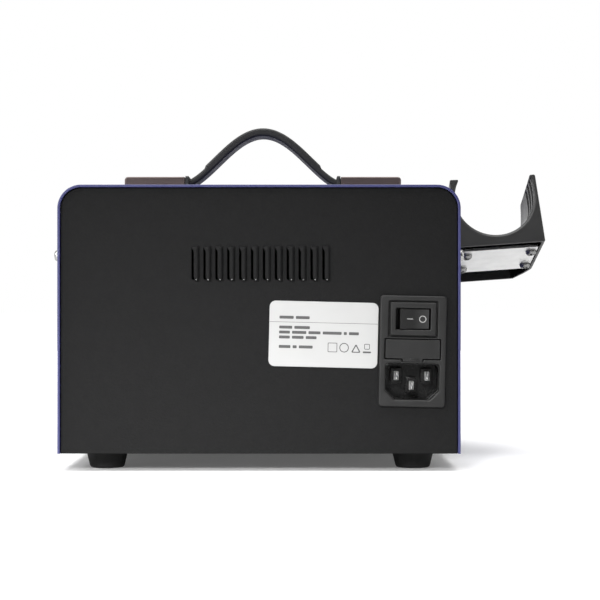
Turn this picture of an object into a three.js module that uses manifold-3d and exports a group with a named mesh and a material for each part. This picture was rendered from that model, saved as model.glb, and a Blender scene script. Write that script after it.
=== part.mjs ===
// Hot-air rework and soldering station: a folded steel case with a bowed carrying strap on top,
// a mains inlet module at the back, controls at the front and a tilted hot-air gun holder on one side.
// Millimetres, +Z up. The front faces -Y, the rear panel faces +Y and the gun holder is on the -X side.
import * as THREE from 'three';
import { mergeVertices } from 'three/addons/utils/BufferGeometryUtils.js';
import Module from 'manifold-3d';

const wasm = await Module();
wasm.setup();

// Driving dimensions
const CASE_WIDTH = 187;
const CASE_DEPTH = 245;
const CASE_HEIGHT = 124.8;
const FOOT_HEIGHT = 8;
const CORNER_RADIUS = 11;
const SHEET = 1.2;
const GAP = 0.3;
const PANEL_INSET = 1.5;
const FLANGE_DEPTH = 14;
const FLANGE_HEIGHT = 104;

const FOOT_TOP_RADIUS = 9.65;
const FOOT_BOTTOM_RADIUS = 8;
const FOOT_FROM_SIDE = 21;
const FOOT_FROM_END = 26;

const SCREW_HEAD_RADIUS = 2.8;
const SCREW_HEAD_HEIGHT = 2.1;
const SCREW_RADIUS = 1.5;
const SCREW_LENGTH = 7;
const SCREW_HOLE_RADIUS = SCREW_RADIUS + GAP;
const SIDE_SCREW_HEIGHT = 100;
const SIDE_SCREW_FROM_END = 9;

const LOUVRE_COUNT = 12;
const LOUVRE_PITCH = 5.52;
const LOUVRE_WIDTH = 2.9;
const LOUVRE_HEIGHT = 16.6;
const LOUVRE_RISE = 1.4;
const LOUVRE_CENTRE_Z = 96.2;

const LABEL_WIDTH = 50.5;
const LABEL_HEIGHT = 30.4;
const LABEL_TILT = THREE.MathUtils.degToRad(-1.4);
const LABEL_CENTRE = new THREE.Vector2(-29.9, 63.3);

const INLET_WIDTH = 30.8;
const INLET_HEIGHT = 51.6;
const INLET_BODY_WIDTH = 27.4;
const INLET_BODY_HEIGHT = 47.4;
const INLET_BODY_DEPTH = 30;
const INLET_FLANGE = 2.2;
const INLET_CENTRE = new THREE.Vector2(-71.2, 55.5);
const INLET_TILT = THREE.MathUtils.degToRad(-1.2);
const INLET_ROCKER_Z = 15;
const INLET_FUSE_Z = 1;
const INLET_SOCKET_Z = -14;
const SOCKET_WIDTH = 24.9;
const SOCKET_HEIGHT = 16.8;
const SOCKET_DEPTH = 16;
const SOCKET_CHAMFER = 4.3;
const PIN_SPACING = 7.15;
const PIN_DEPTH = 14;
const PIN_THICKNESS = 2;
const PIN_BREADTH = 4;
const PIN_TAIL = 6;

const ROCKER_LENGTH = 13.8;
const ROCKER_WIDTH = 9.4;
const ROCKER_THROW = THREE.MathUtils.degToRad(10);
const ROCKER_OPENING_LENGTH = 16;
const ROCKER_OPENING_WIDTH = 10;
const ROCKER_POCKET = 12;
const ROCKER_PIVOT_DEPTH = 4.2;

const STRAP_WIDTH = 27;
const STRAP_THICKNESS = 5;
const STRAP_END_THICKNESS = 3.8;
const STRAP_BASE_Z = 138;
const STRAP_RISE = 27.3;
const STRAP_HALF_SPAN = 44;
const STRAP_HALF_LENGTH = 58;
const STRAP_GRIP_HALF = 28.5;
const STRAP_CROWN_POWER = 2.2;
const CAP_INNER = 40;
const CAP_OUTER = 70.7;
const CAP_WIDTH = 31;
const CAP_HEIGHT = 9.2;
const CLIP_LENGTH = 1.8;

const HOLDER_CENTRE = new THREE.Vector3(-118.8, 12, 132.3);
const HOLDER_YAW = THREE.MathUtils.degToRad(2.5);
const HOLDER_PITCH = THREE.MathUtils.degToRad(-16);
const HOLDER_ROLL = THREE.MathUtils.degToRad(-4.2);
const HOLDER_BORE = 20.3;
const HOLDER_BOTTOM = -25.4;
const HOLDER_LENGTH = 66.7;
const HOLDER_HALF_BOTTOM = 23.5;
const HOLDER_HALF_TIP = 22.3;
const HOLDER_TIP = 10.8;
const HOLDER_WALL = 1.6;
const HOLDER_WALL_CLEARANCE = 2.5;
const BRACKET_START = 11.2;
const BRACKET_END = 49;
const BRACKET_RECESS = 2.2;
const BRACKET_THICKNESS = 1.5;
const HOLDER_TAPER = [
  { y: 50, half: HOLDER_HALF_BOTTOM },
  { y: 57.5, half: 20.5 },
  { y: HOLDER_LENGTH + 1, half: 15.5 },
];
const BOSS_RADIUS = 3.6;
const CRADLE_SCREW_U = [-15, 18.6];
const CRADLE_SCREW_W = [18.3, 41.5];

const KNOB_RADIUS = 11;
const KNOB_HEIGHT = 15;
const SHAFT_RADIUS = 3;
const BUSHING_RADIUS = 3.5;
const KNOB_Z = 68;
const KNOB_X = { air_flow: -62, air_heat: -26, iron_heat: 40 };
const WINDOW_WIDTH = 58;
const WINDOW_HEIGHT = 24;
const WINDOW_Z = 104;
const WINDOW_X = { air: -44, iron: 44 };
const SWITCH_Z = 31;
const SWITCH_X = { air: -72, iron: 72 };
const SWITCH_BEZEL_WIDTH = 15;
const SWITCH_BEZEL_HEIGHT = 21;
const SWITCH_BEZEL_DEPTH = 2;
const SWITCH_BODY_WIDTH = 13.6;
const SWITCH_BODY_HEIGHT = 19.6;
const SWITCH_BODY_DEPTH = 13;
const OUTLET_Z = 31;
const OUTLET_RADIUS = 8;
const OUTLET_X = { air: -32, iron: 32 };

const ROUND_STEPS = 20;
const SMALL_STEPS = 12;
const ARC_STEPS = 5;

const CASE_BOTTOM = FOOT_HEIGHT;
const CASE_TOP = FOOT_HEIGHT + CASE_HEIGHT;
const HALF_WIDTH = CASE_WIDTH / 2;
const HALF_DEPTH = CASE_DEPTH / 2;
const INSIDE_HALF = HALF_WIDTH - SHEET;
const PANEL_HALF = INSIDE_HALF - GAP;
const REAR_FACE = HALF_DEPTH - PANEL_INSET;
const FRONT_FACE = -REAR_FACE;
const FLOOR_TOP = CASE_BOTTOM + SHEET;
const CAP_BOTTOM = CASE_TOP + GAP;

// Materials
function finish(name, color, roughness, metalness) {
  return new THREE.MeshStandardMaterial({ name, color, roughness, metalness });
}
const blueEnamel = finish('blue_enamel', 0x34387e, 0.35, 0.1);
const blackTexturedPaint = finish('black_textured_paint', 0x242424, 0.75, 0.1);
const blackPlastic = finish('black_plastic', 0x2b2b2b, 0.4, 0);
const glossBlack = finish('gloss_black', 0x1c1c1c, 0.2, 0);
const blackRubber = finish('black_rubber', 0x1a1a1a, 0.8, 0);
const strapRubber = finish('strap_rubber', 0x303030, 0.65, 0);
const bronzePlate = finish('bronze_plate', 0x6b5c57, 0.4, 0.7);
const brushedAluminium = finish('brushed_aluminium', 0xd8d8d6, 0.35, 0.9);
const brightSteel = finish('bright_steel', 0xb8b8b4, 0.3, 1);
const darkSteel = finish('dark_steel', 0x6a6a68, 0.35, 1);
const brass = finish('brass', 0xc0a050, 0.35, 1);
const whiteLabel = finish('white_label', 0xececec, 0.5, 0);
const smokedWindow = finish('smoked_window', 0x150a0a, 0.1, 0);
const glassTube = finish('glass_tube', 0xd0dcdc, 0.1, 0);
const greenBoard = finish('green_board', 0x1d5a34, 0.5, 0);
const siliconSteel = finish('silicon_steel', 0x55565a, 0.5, 0.8);
const yellowTape = finish('yellow_tape', 0xc9a53a, 0.6, 0);
const clearTube = finish('clear_tube', 0xdadad2, 0.4, 0);

// Solids
function solidOf(geometry) {
  const bare = geometry.clone();
  bare.deleteAttribute('normal');
  bare.deleteAttribute('uv');
  const merged = mergeVertices(bare, 1e-4);
  const vertProperties = new Float32Array(merged.getAttribute('position').array);
  const triVerts = new Uint32Array(merged.index.array);
  return new wasm.Manifold(new wasm.Mesh({ numProp: 3, vertProperties, triVerts }));
}

function geometryOf(solid) {
  const { vertProperties, triVerts } = solid.getMesh();
  const indexed = new THREE.BufferGeometry();
  indexed.setAttribute('position', new THREE.BufferAttribute(vertProperties, 3));
  indexed.setIndex(new THREE.BufferAttribute(triVerts, 1));
  const geometry = indexed.toNonIndexed();
  geometry.computeVertexNormals();
  return geometry;
}

function cut(base, ...tools) {
  return geometryOf(tools.reduce((solid, tool) => solid.subtract(solidOf(tool)), solidOf(base)));
}

function join(base, ...others) {
  return geometryOf(others.reduce((solid, other) => solid.add(solidOf(other)), solidOf(base)));
}

function common(a, b) {
  return geometryOf(solidOf(a).intersect(solidOf(b)));
}

function block(x0, x1, y0, y1, z0, z1) {
  const geometry = new THREE.BoxGeometry(x1 - x0, y1 - y0, z1 - z0);
  return geometry.translate((x0 + x1) / 2, (y0 + y1) / 2, (z0 + z1) / 2);
}

// A round rod from start to start + length along an axis, 'x', 'y' or 'z'.
function rod(radius, length, axis, x, y, z, steps = SMALL_STEPS) {
  const geometry = new THREE.CylinderGeometry(radius, radius, Math.abs(length), steps);
  geometry.translate(0, length / 2, 0);
  return toAxis(geometry, axis).translate(x, y, z);
}

function toAxis(geometry, axis) {
  if (axis === 'x') return geometry.rotateZ(-Math.PI / 2);
  if (axis === 'z') return geometry.rotateX(Math.PI / 2);
  return geometry;
}

// A turned solid: the profile is a list of [radius, position along the axis], from axis to axis.
function turned(profile, axis, steps = ROUND_STEPS) {
  const points = profile.map(([radius, along]) => new THREE.Vector2(radius, along));
  return toAxis(new THREE.LatheGeometry(points, steps), axis);
}

function extruded(shape, depth) {
  return new THREE.ExtrudeGeometry(shape, { depth, bevelEnabled: false, curveSegments: ARC_STEPS });
}

// A shape drawn in X and Z, from y0 to y1.
function alongY(shape, y0, y1) {
  return extruded(shape, y1 - y0).rotateX(Math.PI / 2).translate(0, y1, 0);
}

// A shape drawn in Y and Z, from x0 to x1.
function alongX(shape, x0, x1) {
  const turn = new THREE.Matrix4().makeBasis(
    new THREE.Vector3(0, 1, 0),
    new THREE.Vector3(0, 0, 1),
    new THREE.Vector3(1, 0, 0),
  );
  return extruded(shape, x1 - x0).applyMatrix4(turn).translate(x0, 0, 0);
}

// A shape drawn in X and Y, from z0 to z1.
function alongZ(shape, z0, z1) {
  return extruded(shape, z1 - z0).translate(0, 0, z0);
}

function polygon(points) {
  return new THREE.Shape(points.map(([x, y]) => new THREE.Vector2(x, y)));
}

function roundedRect(x, y, width, height, radius) {
  const left = x - width / 2;
  const bottom = y - height / 2;
  const right = x + width / 2;
  const top = y + height / 2;
  const shape = new THREE.Shape();
  shape.moveTo(left + radius, bottom);
  shape.lineTo(right - radius, bottom);
  shape.absarc(right - radius, bottom + radius, radius, -Math.PI / 2, 0);
  shape.lineTo(right, top - radius);
  shape.absarc(right - radius, top - radius, radius, 0, Math.PI / 2);
  shape.lineTo(left + radius, top);
  shape.absarc(left + radius, top - radius, radius, Math.PI / 2, Math.PI);
  shape.lineTo(left, bottom + radius);
  shape.absarc(left + radius, bottom + radius, radius, Math.PI, Math.PI * 1.5);
  return shape;
}

// An upright outline with square bottom corners and round top corners.
function archOutline(halfWidth, bottom, top, radius) {
  const shape = new THREE.Shape();
  shape.moveTo(-halfWidth, bottom);
  shape.lineTo(halfWidth, bottom);
  shape.lineTo(halfWidth, top - radius);
  shape.absarc(halfWidth - radius, top - radius, radius, 0, Math.PI / 2);
  shape.lineTo(-halfWidth + radius, top);
  shape.absarc(-halfWidth + radius, top - radius, radius, Math.PI / 2, Math.PI);
  return shape;
}

const station = new THREE.Group();

function part(name, geometry, material, parent = station) {
  const mesh = new THREE.Mesh(geometry, material);
  mesh.name = name;
  parent.add(mesh);
  return mesh;
}

// A pan-head screw along Z: its shank points up from the head's flat face at z = 0.
function panScrew(length = SCREW_LENGTH) {
  const profile = [
    [0, -SCREW_HEAD_HEIGHT],
    [SCREW_HEAD_RADIUS * 0.6, -SCREW_HEAD_HEIGHT],
    [SCREW_HEAD_RADIUS, -SCREW_HEAD_HEIGHT * 0.45],
    [SCREW_HEAD_RADIUS, 0],
    [SCREW_RADIUS, 0],
    [SCREW_RADIUS, length],
    [0, length],
  ];
  return turned(profile, 'y', SMALL_STEPS).rotateX(Math.PI / 2);
}

// Case
const sideScrewEnds = { rear: HALF_DEPTH - SIDE_SCREW_FROM_END, front: SIDE_SCREW_FROM_END - HALF_DEPTH };
const bracketScrewPlaces = [
  [-12, 108],
  [-30, 103],
];

function makeCover() {
  const outer = archOutline(HALF_WIDTH, CASE_BOTTOM, CASE_TOP, CORNER_RADIUS);
  const innerRadius = CORNER_RADIUS - SHEET;
  const inner = archOutline(INSIDE_HALF, CASE_BOTTOM - 1, CASE_TOP - SHEET, innerRadius);
  const shell = alongY(outer, -HALF_DEPTH, HALF_DEPTH);
  const room = alongY(inner, -HALF_DEPTH - 1, HALF_DEPTH + 1);
  const sideHoles = Object.values(sideScrewEnds).map((y) =>
    rod(SCREW_HOLE_RADIUS, CASE_WIDTH + 2, 'x', -HALF_WIDTH - 1, y, SIDE_SCREW_HEIGHT),
  );
  const bracketHoles = bracketScrewPlaces.map(([y, z]) =>
    rod(SCREW_HOLE_RADIUS, 4, 'x', -HALF_WIDTH - 2, y, z),
  );
  part('top_cover', cut(shell, room, ...sideHoles, ...bracketHoles), blueEnamel);
}

// A flat end panel with its two sides bent inwards as screw flanges. inward is +1 or -1 along Y.
function endPanel(faceY, inward) {
  const backY = faceY + inward * SHEET;
  const flangeY = faceY + inward * FLANGE_DEPTH;
  const outline = archOutline(PANEL_HALF, CASE_BOTTOM, CASE_TOP - SHEET - GAP, CORNER_RADIUS - SHEET - GAP);
  const sheet = alongY(outline, Math.min(faceY, backY), Math.max(faceY, backY));
  const bottom = CASE_BOTTOM + 8;
  const flanges = [-1, 1].map((side) =>
    block(
      side > 0 ? PANEL_HALF - SHEET : -PANEL_HALF,
      side > 0 ? PANEL_HALF : SHEET - PANEL_HALF,
      Math.min(faceY + inward * SHEET / 2, flangeY),
      Math.max(faceY + inward * SHEET / 2, flangeY),
      bottom,
      bottom + FLANGE_HEIGHT,
    ),
  );
  const screwY = faceY > 0 ? sideScrewEnds.rear : sideScrewEnds.front;
  const hole = rod(SCREW_HOLE_RADIUS, CASE_WIDTH, 'x', -HALF_WIDTH, screwY, SIDE_SCREW_HEIGHT);
  return cut(join(sheet, ...flanges), hole);
}

// One pressed louvre: a slot in the sheet under a hood that stays open along its +X edge.
function louvre(x) {
  const bottom = LOUVRE_CENTRE_Z - LOUVRE_HEIGHT / 2;
  const top = LOUVRE_CENTRE_Z + LOUVRE_HEIGHT / 2;
  const right = x + LOUVRE_WIDTH / 2;
  const left = x - LOUVRE_WIDTH / 2;
  const hoodOutline = polygon([
    [left - 0.4, REAR_FACE - 0.4],
    [right, REAR_FACE - 0.4],
    [right, REAR_FACE + LOUVRE_RISE],
    [x, REAR_FACE + LOUVRE_RISE],
  ]);
  const hollowOutline = polygon([
    [left + 0.4, REAR_FACE - SHEET - 1],
    [right + 0.1, REAR_FACE - SHEET - 1],
    [right + 0.1, REAR_FACE + LOUVRE_RISE - 0.6],
    [x + 0.3, REAR_FACE + LOUVRE_RISE - 0.6],
    [left + 0.4, REAR_FACE - 0.3],
  ]);
  return {
    hood: alongZ(hoodOutline, bottom, top),
    hollow: alongZ(hollowOutline, bottom + 0.9, top - 0.9),
  };
}

function makeRearPanel() {
  const spots = Array.from(
    { length: LOUVRE_COUNT },
    (_, i) => (i - (LOUVRE_COUNT - 1) / 2) * LOUVRE_PITCH - 1,
  );
  const louvres = spots.map(louvre);
  const inletHole = block(
    -INLET_BODY_WIDTH / 2 - GAP,
    INLET_BODY_WIDTH / 2 + GAP,
    REAR_FACE - SHEET - 1,
    REAR_FACE + 1,
    -INLET_BODY_HEIGHT / 2 - GAP,
    INLET_BODY_HEIGHT / 2 + GAP,
  );
  inletHole.rotateY(INLET_TILT).translate(INLET_CENTRE.x, 0, INLET_CENTRE.y);
  const sheet = join(endPanel(REAR_FACE, -1), ...louvres.map((each) => each.hood));
  part('rear_panel', cut(sheet, inletHole, ...louvres.map((each) => each.hollow)), blackTexturedPaint);
}

function makeFrontPanel() {
  const y0 = FRONT_FACE - 1;
  const y1 = FRONT_FACE + SHEET + 1;
  const windows = Object.values(WINDOW_X).map((x) =>
    block(
      x - WINDOW_WIDTH / 2 + 2 - GAP,
      x + WINDOW_WIDTH / 2 - 2 + GAP,
      y0,
      y1,
      WINDOW_Z - WINDOW_HEIGHT / 2 + 2 - GAP,
      WINDOW_Z + WINDOW_HEIGHT / 2 - 2 + GAP,
    ),
  );
  const bushings = Object.values(KNOB_X).map((x) =>
    rod(BUSHING_RADIUS + GAP, y1 - y0, 'y', x, y0, KNOB_Z),
  );
  const switchX = SWITCH_BODY_WIDTH / 2 + GAP;
  const switchZ = SWITCH_BODY_HEIGHT / 2 + GAP;
  const switches = Object.values(SWITCH_X).map((x) =>
    block(x - switchX, x + switchX, y0, y1, SWITCH_Z - switchZ, SWITCH_Z + switchZ),
  );
  const outlets = Object.values(OUTLET_X).map((x) =>
    rod(OUTLET_RADIUS + GAP, y1 - y0, 'y', x, y0, OUTLET_Z, ROUND_STEPS),
  );
  const panel = cut(endPanel(FRONT_FACE, 1), ...windows, ...bushings, ...switches, ...outlets);
  part('front_panel', panel, blackTexturedPaint);
}

function makeBaseTray() {
  const y = REAR_FACE - SHEET - GAP;
  const floor = block(-PANEL_HALF, PANEL_HALF, -y, y, CASE_BOTTOM, FLOOR_TOP);
  const lipTop = CASE_BOTTOM + 7.4;
  const lips = [
    block(-PANEL_HALF, SHEET - PANEL_HALF, -y, y, CASE_BOTTOM, lipTop),
    block(PANEL_HALF - SHEET, PANEL_HALF, -y, y, CASE_BOTTOM, lipTop),
  ];
  part('base_tray', join(floor, ...lips), blackTexturedPaint);
}

function makeFeet() {
  const profile = [
    [0, 0],
    [FOOT_BOTTOM_RADIUS - 1.2, 0],
    [FOOT_BOTTOM_RADIUS - 0.3, 0.4],
    [FOOT_BOTTOM_RADIUS, 1.3],
    [FOOT_TOP_RADIUS, FOOT_HEIGHT - 0.1],
    [0, FOOT_HEIGHT - 0.1],
  ];
  const foot = turned(profile, 'y').rotateX(Math.PI / 2);
  for (const [end, sy] of [['rear', 1], ['front', -1]]) {
    for (const [side, sx] of [['left', -1], ['right', 1]]) {
      const mesh = part(`foot_${end}_${side}`, foot.clone(), blackRubber);
      mesh.position.set(sx * (HALF_WIDTH - FOOT_FROM_SIDE), sy * (HALF_DEPTH - FOOT_FROM_END), 0);
    }
  }
}

function makeSideScrews() {
  for (const [end, y] of Object.entries(sideScrewEnds)) {
    for (const [side, sx] of [['left', -1], ['right', 1]]) {
      const mesh = part(`side_screw_${end}_${side}`, panScrew(), brightSteel);
      mesh.position.set(sx * (HALF_WIDTH + 0.1), y, SIDE_SCREW_HEIGHT);
      mesh.rotation.y = -sx * Math.PI / 2;
    }
  }
}

function makeLabel() {
  const outline = roundedRect(0, 0, LABEL_WIDTH, LABEL_HEIGHT, 2.8);
  const mesh = part('rating_label', alongY(outline, 0, 0.25), whiteLabel);
  mesh.position.set(LABEL_CENTRE.x, REAR_FACE + 0.1, LABEL_CENTRE.y);
  mesh.rotation.y = LABEL_TILT;
}

// A rocker cap lying along X, its two faces towards +Y and its pivot at the origin, along Z.
function rockerCap() {
  const half = ROCKER_LENGTH / 2;
  const outline = polygon([
    [-2.4, -4],
    [2.4, -4],
    [half - 0.6, -1.6],
    [half, 4.2],
    [half - 0.4, 4.4],
    [0, 3.1],
    [0.4 - half, 4.4],
    [-half, 4.2],
    [0.6 - half, -1.6],
  ]);
  return alongZ(outline, -ROCKER_WIDTH / 2, ROCKER_WIDTH / 2);
}

function socketOutline() {
  const x = SOCKET_WIDTH / 2;
  const z0 = INLET_SOCKET_Z - SOCKET_HEIGHT / 2;
  const z1 = INLET_SOCKET_Z + SOCKET_HEIGHT / 2;
  return polygon([
    [-x + SOCKET_CHAMFER, z0],
    [x - SOCKET_CHAMFER, z0],
    [x, z0 + SOCKET_CHAMFER],
    [x, z1 - 1.2],
    [x - 1.2, z1],
    [-x + 1.2, z1],
    [-x, z1 - 1.2],
    [-x, z0 + SOCKET_CHAMFER],
  ]);
}

const FUSE_FRONT_WIDTH = 25.2;
const FUSE_FRONT_HEIGHT = 8.8;
const FUSE_TAB_WIDTH = 9.2;
const FUSE_TAB_DROP = 1.4;
const FUSE_TRAY_WIDTH = 23;
const FUSE_TRAY_HEIGHT = 7.2;
const FUSE_TRAY_DEPTH = 20;

// Outline of the fuse drawer's front, with its pull tab below the middle, grown by a clearance.
function fuseFrontOutline(grow) {
  const x = FUSE_FRONT_WIDTH / 2 + grow;
  const tab = FUSE_TAB_WIDTH / 2 + grow;
  const top = INLET_FUSE_Z + FUSE_FRONT_HEIGHT / 2 + grow;
  const bottom = INLET_FUSE_Z - FUSE_FRONT_HEIGHT / 2 - grow;
  return polygon([
    [-tab, bottom - FUSE_TAB_DROP],
    [tab, bottom - FUSE_TAB_DROP],
    [tab, bottom],
    [x, bottom],
    [x, top],
    [-x, top],
    [-x, bottom],
    [-tab, bottom],
  ]);
}

function makeInletModule() {
  const module = new THREE.Group();
  module.position.set(INLET_CENTRE.x, REAR_FACE + 0.1, INLET_CENTRE.y);
  module.rotation.y = INLET_TILT;
  station.add(module);

  const flange = alongY(roundedRect(0, 0, INLET_WIDTH, INLET_HEIGHT, 1.6), 0, INLET_FLANGE);
  const bodyX = INLET_BODY_WIDTH / 2;
  const bodyZ = INLET_BODY_HEIGHT / 2;
  const body = block(-bodyX, bodyX, -INLET_BODY_DEPTH, 0.5, -bodyZ, bodyZ);
  const rockerPocket = block(
    -ROCKER_OPENING_LENGTH / 2,
    ROCKER_OPENING_LENGTH / 2,
    INLET_FLANGE - ROCKER_POCKET,
    INLET_FLANGE + 1,
    INLET_ROCKER_Z - ROCKER_OPENING_WIDTH / 2,
    INLET_ROCKER_Z + ROCKER_OPENING_WIDTH / 2,
  );
  const socketFloor = INLET_FLANGE - SOCKET_DEPTH;
  const socket = alongY(socketOutline(), socketFloor, INLET_FLANGE + 1);
  const drawerFrontPocket = alongY(fuseFrontOutline(GAP), INLET_FLANGE - 2, INLET_FLANGE + 1);
  const trayX = FUSE_TRAY_WIDTH / 2 + GAP;
  const trayZ = FUSE_TRAY_HEIGHT / 2 + GAP;
  const trayPocket = block(
    -trayX,
    trayX,
    INLET_FLANGE - 2.6 - FUSE_TRAY_DEPTH,
    INLET_FLANGE,
    INLET_FUSE_Z - trayZ,
    INLET_FUSE_Z + trayZ,
  );
  const pinX = PIN_THICKNESS / 2;
  const pinZ = PIN_BREADTH / 2;
  const pinPlaces = [
    ['live', -PIN_SPACING, INLET_SOCKET_Z + 2.4],
    ['neutral', PIN_SPACING, INLET_SOCKET_Z + 2.4],
    ['earth', 0, INLET_SOCKET_Z - 2],
  ];
  const holeX = pinX + GAP;
  const holeZ = pinZ + GAP;
  const pinHoles = pinPlaces.map(([, x, z]) =>
    block(x - holeX, x + holeX, -INLET_BODY_DEPTH - 1, socketFloor + 1, z - holeZ, z + holeZ),
  );
  const housing = cut(join(flange, body), rockerPocket, socket, drawerFrontPocket, trayPocket, ...pinHoles);
  part('inlet_housing', housing, glossBlack, module);

  for (const [name, x, z] of pinPlaces) {
    const tip = socketFloor + PIN_DEPTH - 1;
    const blade = block(x - pinX, x + pinX, -INLET_BODY_DEPTH - PIN_TAIL, tip, z - pinZ, z + pinZ);
    part(`inlet_pin_${name}`, blade, brightSteel, module);
  }

  const rocker = part('inlet_rocker', rockerCap(), glossBlack, module);
  rocker.position.set(0, INLET_FLANGE - ROCKER_PIVOT_DEPTH, INLET_ROCKER_Z);
  rocker.rotation.z = ROCKER_THROW;

  const drawerFront = alongY(fuseFrontOutline(0), INLET_FLANGE - 1.6, INLET_FLANGE + 0.2);
  const tray = block(
    -FUSE_TRAY_WIDTH / 2,
    FUSE_TRAY_WIDTH / 2,
    INLET_FLANGE - 2 - FUSE_TRAY_DEPTH,
    INLET_FLANGE - 1,
    INLET_FUSE_Z - FUSE_TRAY_HEIGHT / 2,
    INLET_FUSE_Z + FUSE_TRAY_HEIGHT / 2,
  );
  const fuseY = INLET_FLANGE - 12;
  const well = block(-10.7, 10.7, fuseY - 3.1, fuseY + 3.1, INLET_FUSE_Z - 3, INLET_FUSE_Z + 5);
  part('fuse_drawer', cut(join(drawerFront, tray), well), glossBlack, module);

  const cap = 2.6;
  const fuseProfile = [
    [0, -10],
    [cap, -10],
    [cap, -5],
    [cap - 0.3, -5],
    [cap - 0.3, 5],
    [cap, 5],
    [cap, 10],
    [0, 10],
  ];
  const fuse = part('fuse', turned(fuseProfile, 'x', SMALL_STEPS), glassTube, module);
  fuse.position.set(0, fuseY, INLET_FUSE_Z + 0.2);
}

// Carrying strap: its middle line rises as a bell between two flat ends.
function strapHeight(x) {
  const reach = Math.min(1, Math.abs(x) / STRAP_HALF_SPAN);
  return STRAP_BASE_Z + STRAP_RISE * (1 - reach * reach) ** STRAP_CROWN_POWER;
}

function strapSide(x, offset) {
  const step = 0.5;
  const slope = (strapHeight(x + step) - strapHeight(x - step)) / (2 * step);
  const length = Math.hypot(1, slope);
  return [x - (slope / length) * offset, strapHeight(x) + offset / length];
}

function makeStrap() {
  const thin = STRAP_END_THICKNESS / 2;
  const grip = STRAP_THICKNESS / 2;
  const spots = [-STRAP_HALF_LENGTH, -46, -42, -38, -34, -31, -STRAP_GRIP_HALF];
  const gripSteps = 18;
  const top = spots.map((x) => strapSide(x, thin));
  const bottom = spots.map((x) => strapSide(x, -thin));
  for (let i = 0; i <= gripSteps; i += 1) {
    const x = STRAP_GRIP_HALF * ((2 * i) / gripSteps - 1);
    top.push(strapSide(x, grip));
    if (i > 0 && i < gripSteps) bottom.push(strapSide(x, -thin));
  }
  for (const x of [...spots].reverse()) {
    top.push(strapSide(-x, thin));
    bottom.push(strapSide(-x, -thin));
  }
  const outline = polygon([...bottom, ...top.reverse()]);
  part('handle_strap', alongY(outline, -STRAP_WIDTH / 2, STRAP_WIDTH / 2), strapRubber);
}

function makeHandleEnds() {
  const capTop = CAP_BOTTOM + CAP_HEIGHT;
  const slotTop = STRAP_BASE_Z + STRAP_END_THICKNESS / 2 + 1.3;
  for (const [side, sx] of [['left', -1], ['right', 1]]) {
    const capOutline = polygon([
      [sx * CAP_INNER, CAP_BOTTOM],
      [sx * CAP_OUTER, CAP_BOTTOM],
      [sx * CAP_OUTER, capTop - 1.6],
      [sx * (CAP_OUTER - 0.5), capTop - 0.5],
      [sx * (CAP_OUTER - 1.6), capTop],
      [sx * CAP_INNER, capTop],
    ]);
    const cap = alongY(capOutline, -CAP_WIDTH / 2, CAP_WIDTH / 2);
    const slotStart = CAP_INNER - 1;
    const slotEnd = CAP_OUTER - SHEET - 0.5;
    const slot = block(
      Math.min(sx * slotStart, sx * slotEnd),
      Math.max(sx * slotStart, sx * slotEnd),
      -STRAP_WIDTH / 2 - 0.6,
      STRAP_WIDTH / 2 + 0.6,
      CAP_BOTTOM - 1,
      slotTop,
    );
    part(`handle_cap_${side}`, cut(cap, slot), bronzePlate);

    const clipInner = CAP_INNER - GAP - CLIP_LENGTH;
    const x0 = Math.min(sx * clipInner, sx * (CAP_INNER - GAP));
    const x1 = Math.max(sx * clipInner, sx * (CAP_INNER - GAP));
    const ring = block(x0, x1, -CAP_WIDTH / 2, CAP_WIDTH / 2, CAP_BOTTOM, capTop + 0.5);
    const mouth = block(
      x0 - 1,
      x1 + 1,
      -STRAP_WIDTH / 2 - 0.5,
      STRAP_WIDTH / 2 + 0.5,
      CAP_BOTTOM + 1.8,
      capTop - 0.6,
    );
    part(`handle_clip_${side}`, cut(ring, mouth), blackPlastic);
  }
}

// Gun holder frame: x runs out from the case, y runs down towards the front and z stands up.
function cradleOutline() {
  const shape = new THREE.Shape();
  const start = Math.atan2(HOLDER_TIP - 1.3, HOLDER_BORE * 0.89);
  shape.moveTo(-HOLDER_HALF_BOTTOM, HOLDER_BOTTOM);
  shape.lineTo(HOLDER_HALF_BOTTOM, HOLDER_BOTTOM);
  shape.lineTo(HOLDER_HALF_TIP, HOLDER_TIP - 1.5);
  shape.lineTo(HOLDER_HALF_TIP - 1.6, HOLDER_TIP);
  shape.lineTo(HOLDER_HALF_TIP - 3, HOLDER_TIP);
  shape.absarc(0, 0, HOLDER_BORE, start, Math.PI - start, true);
  shape.lineTo(-HOLDER_HALF_TIP + 3, HOLDER_TIP);
  shape.lineTo(-HOLDER_HALF_TIP + 1.6, HOLDER_TIP);
  shape.lineTo(-HOLDER_HALF_TIP, HOLDER_TIP - 1.5);
  return shape;
}

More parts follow.
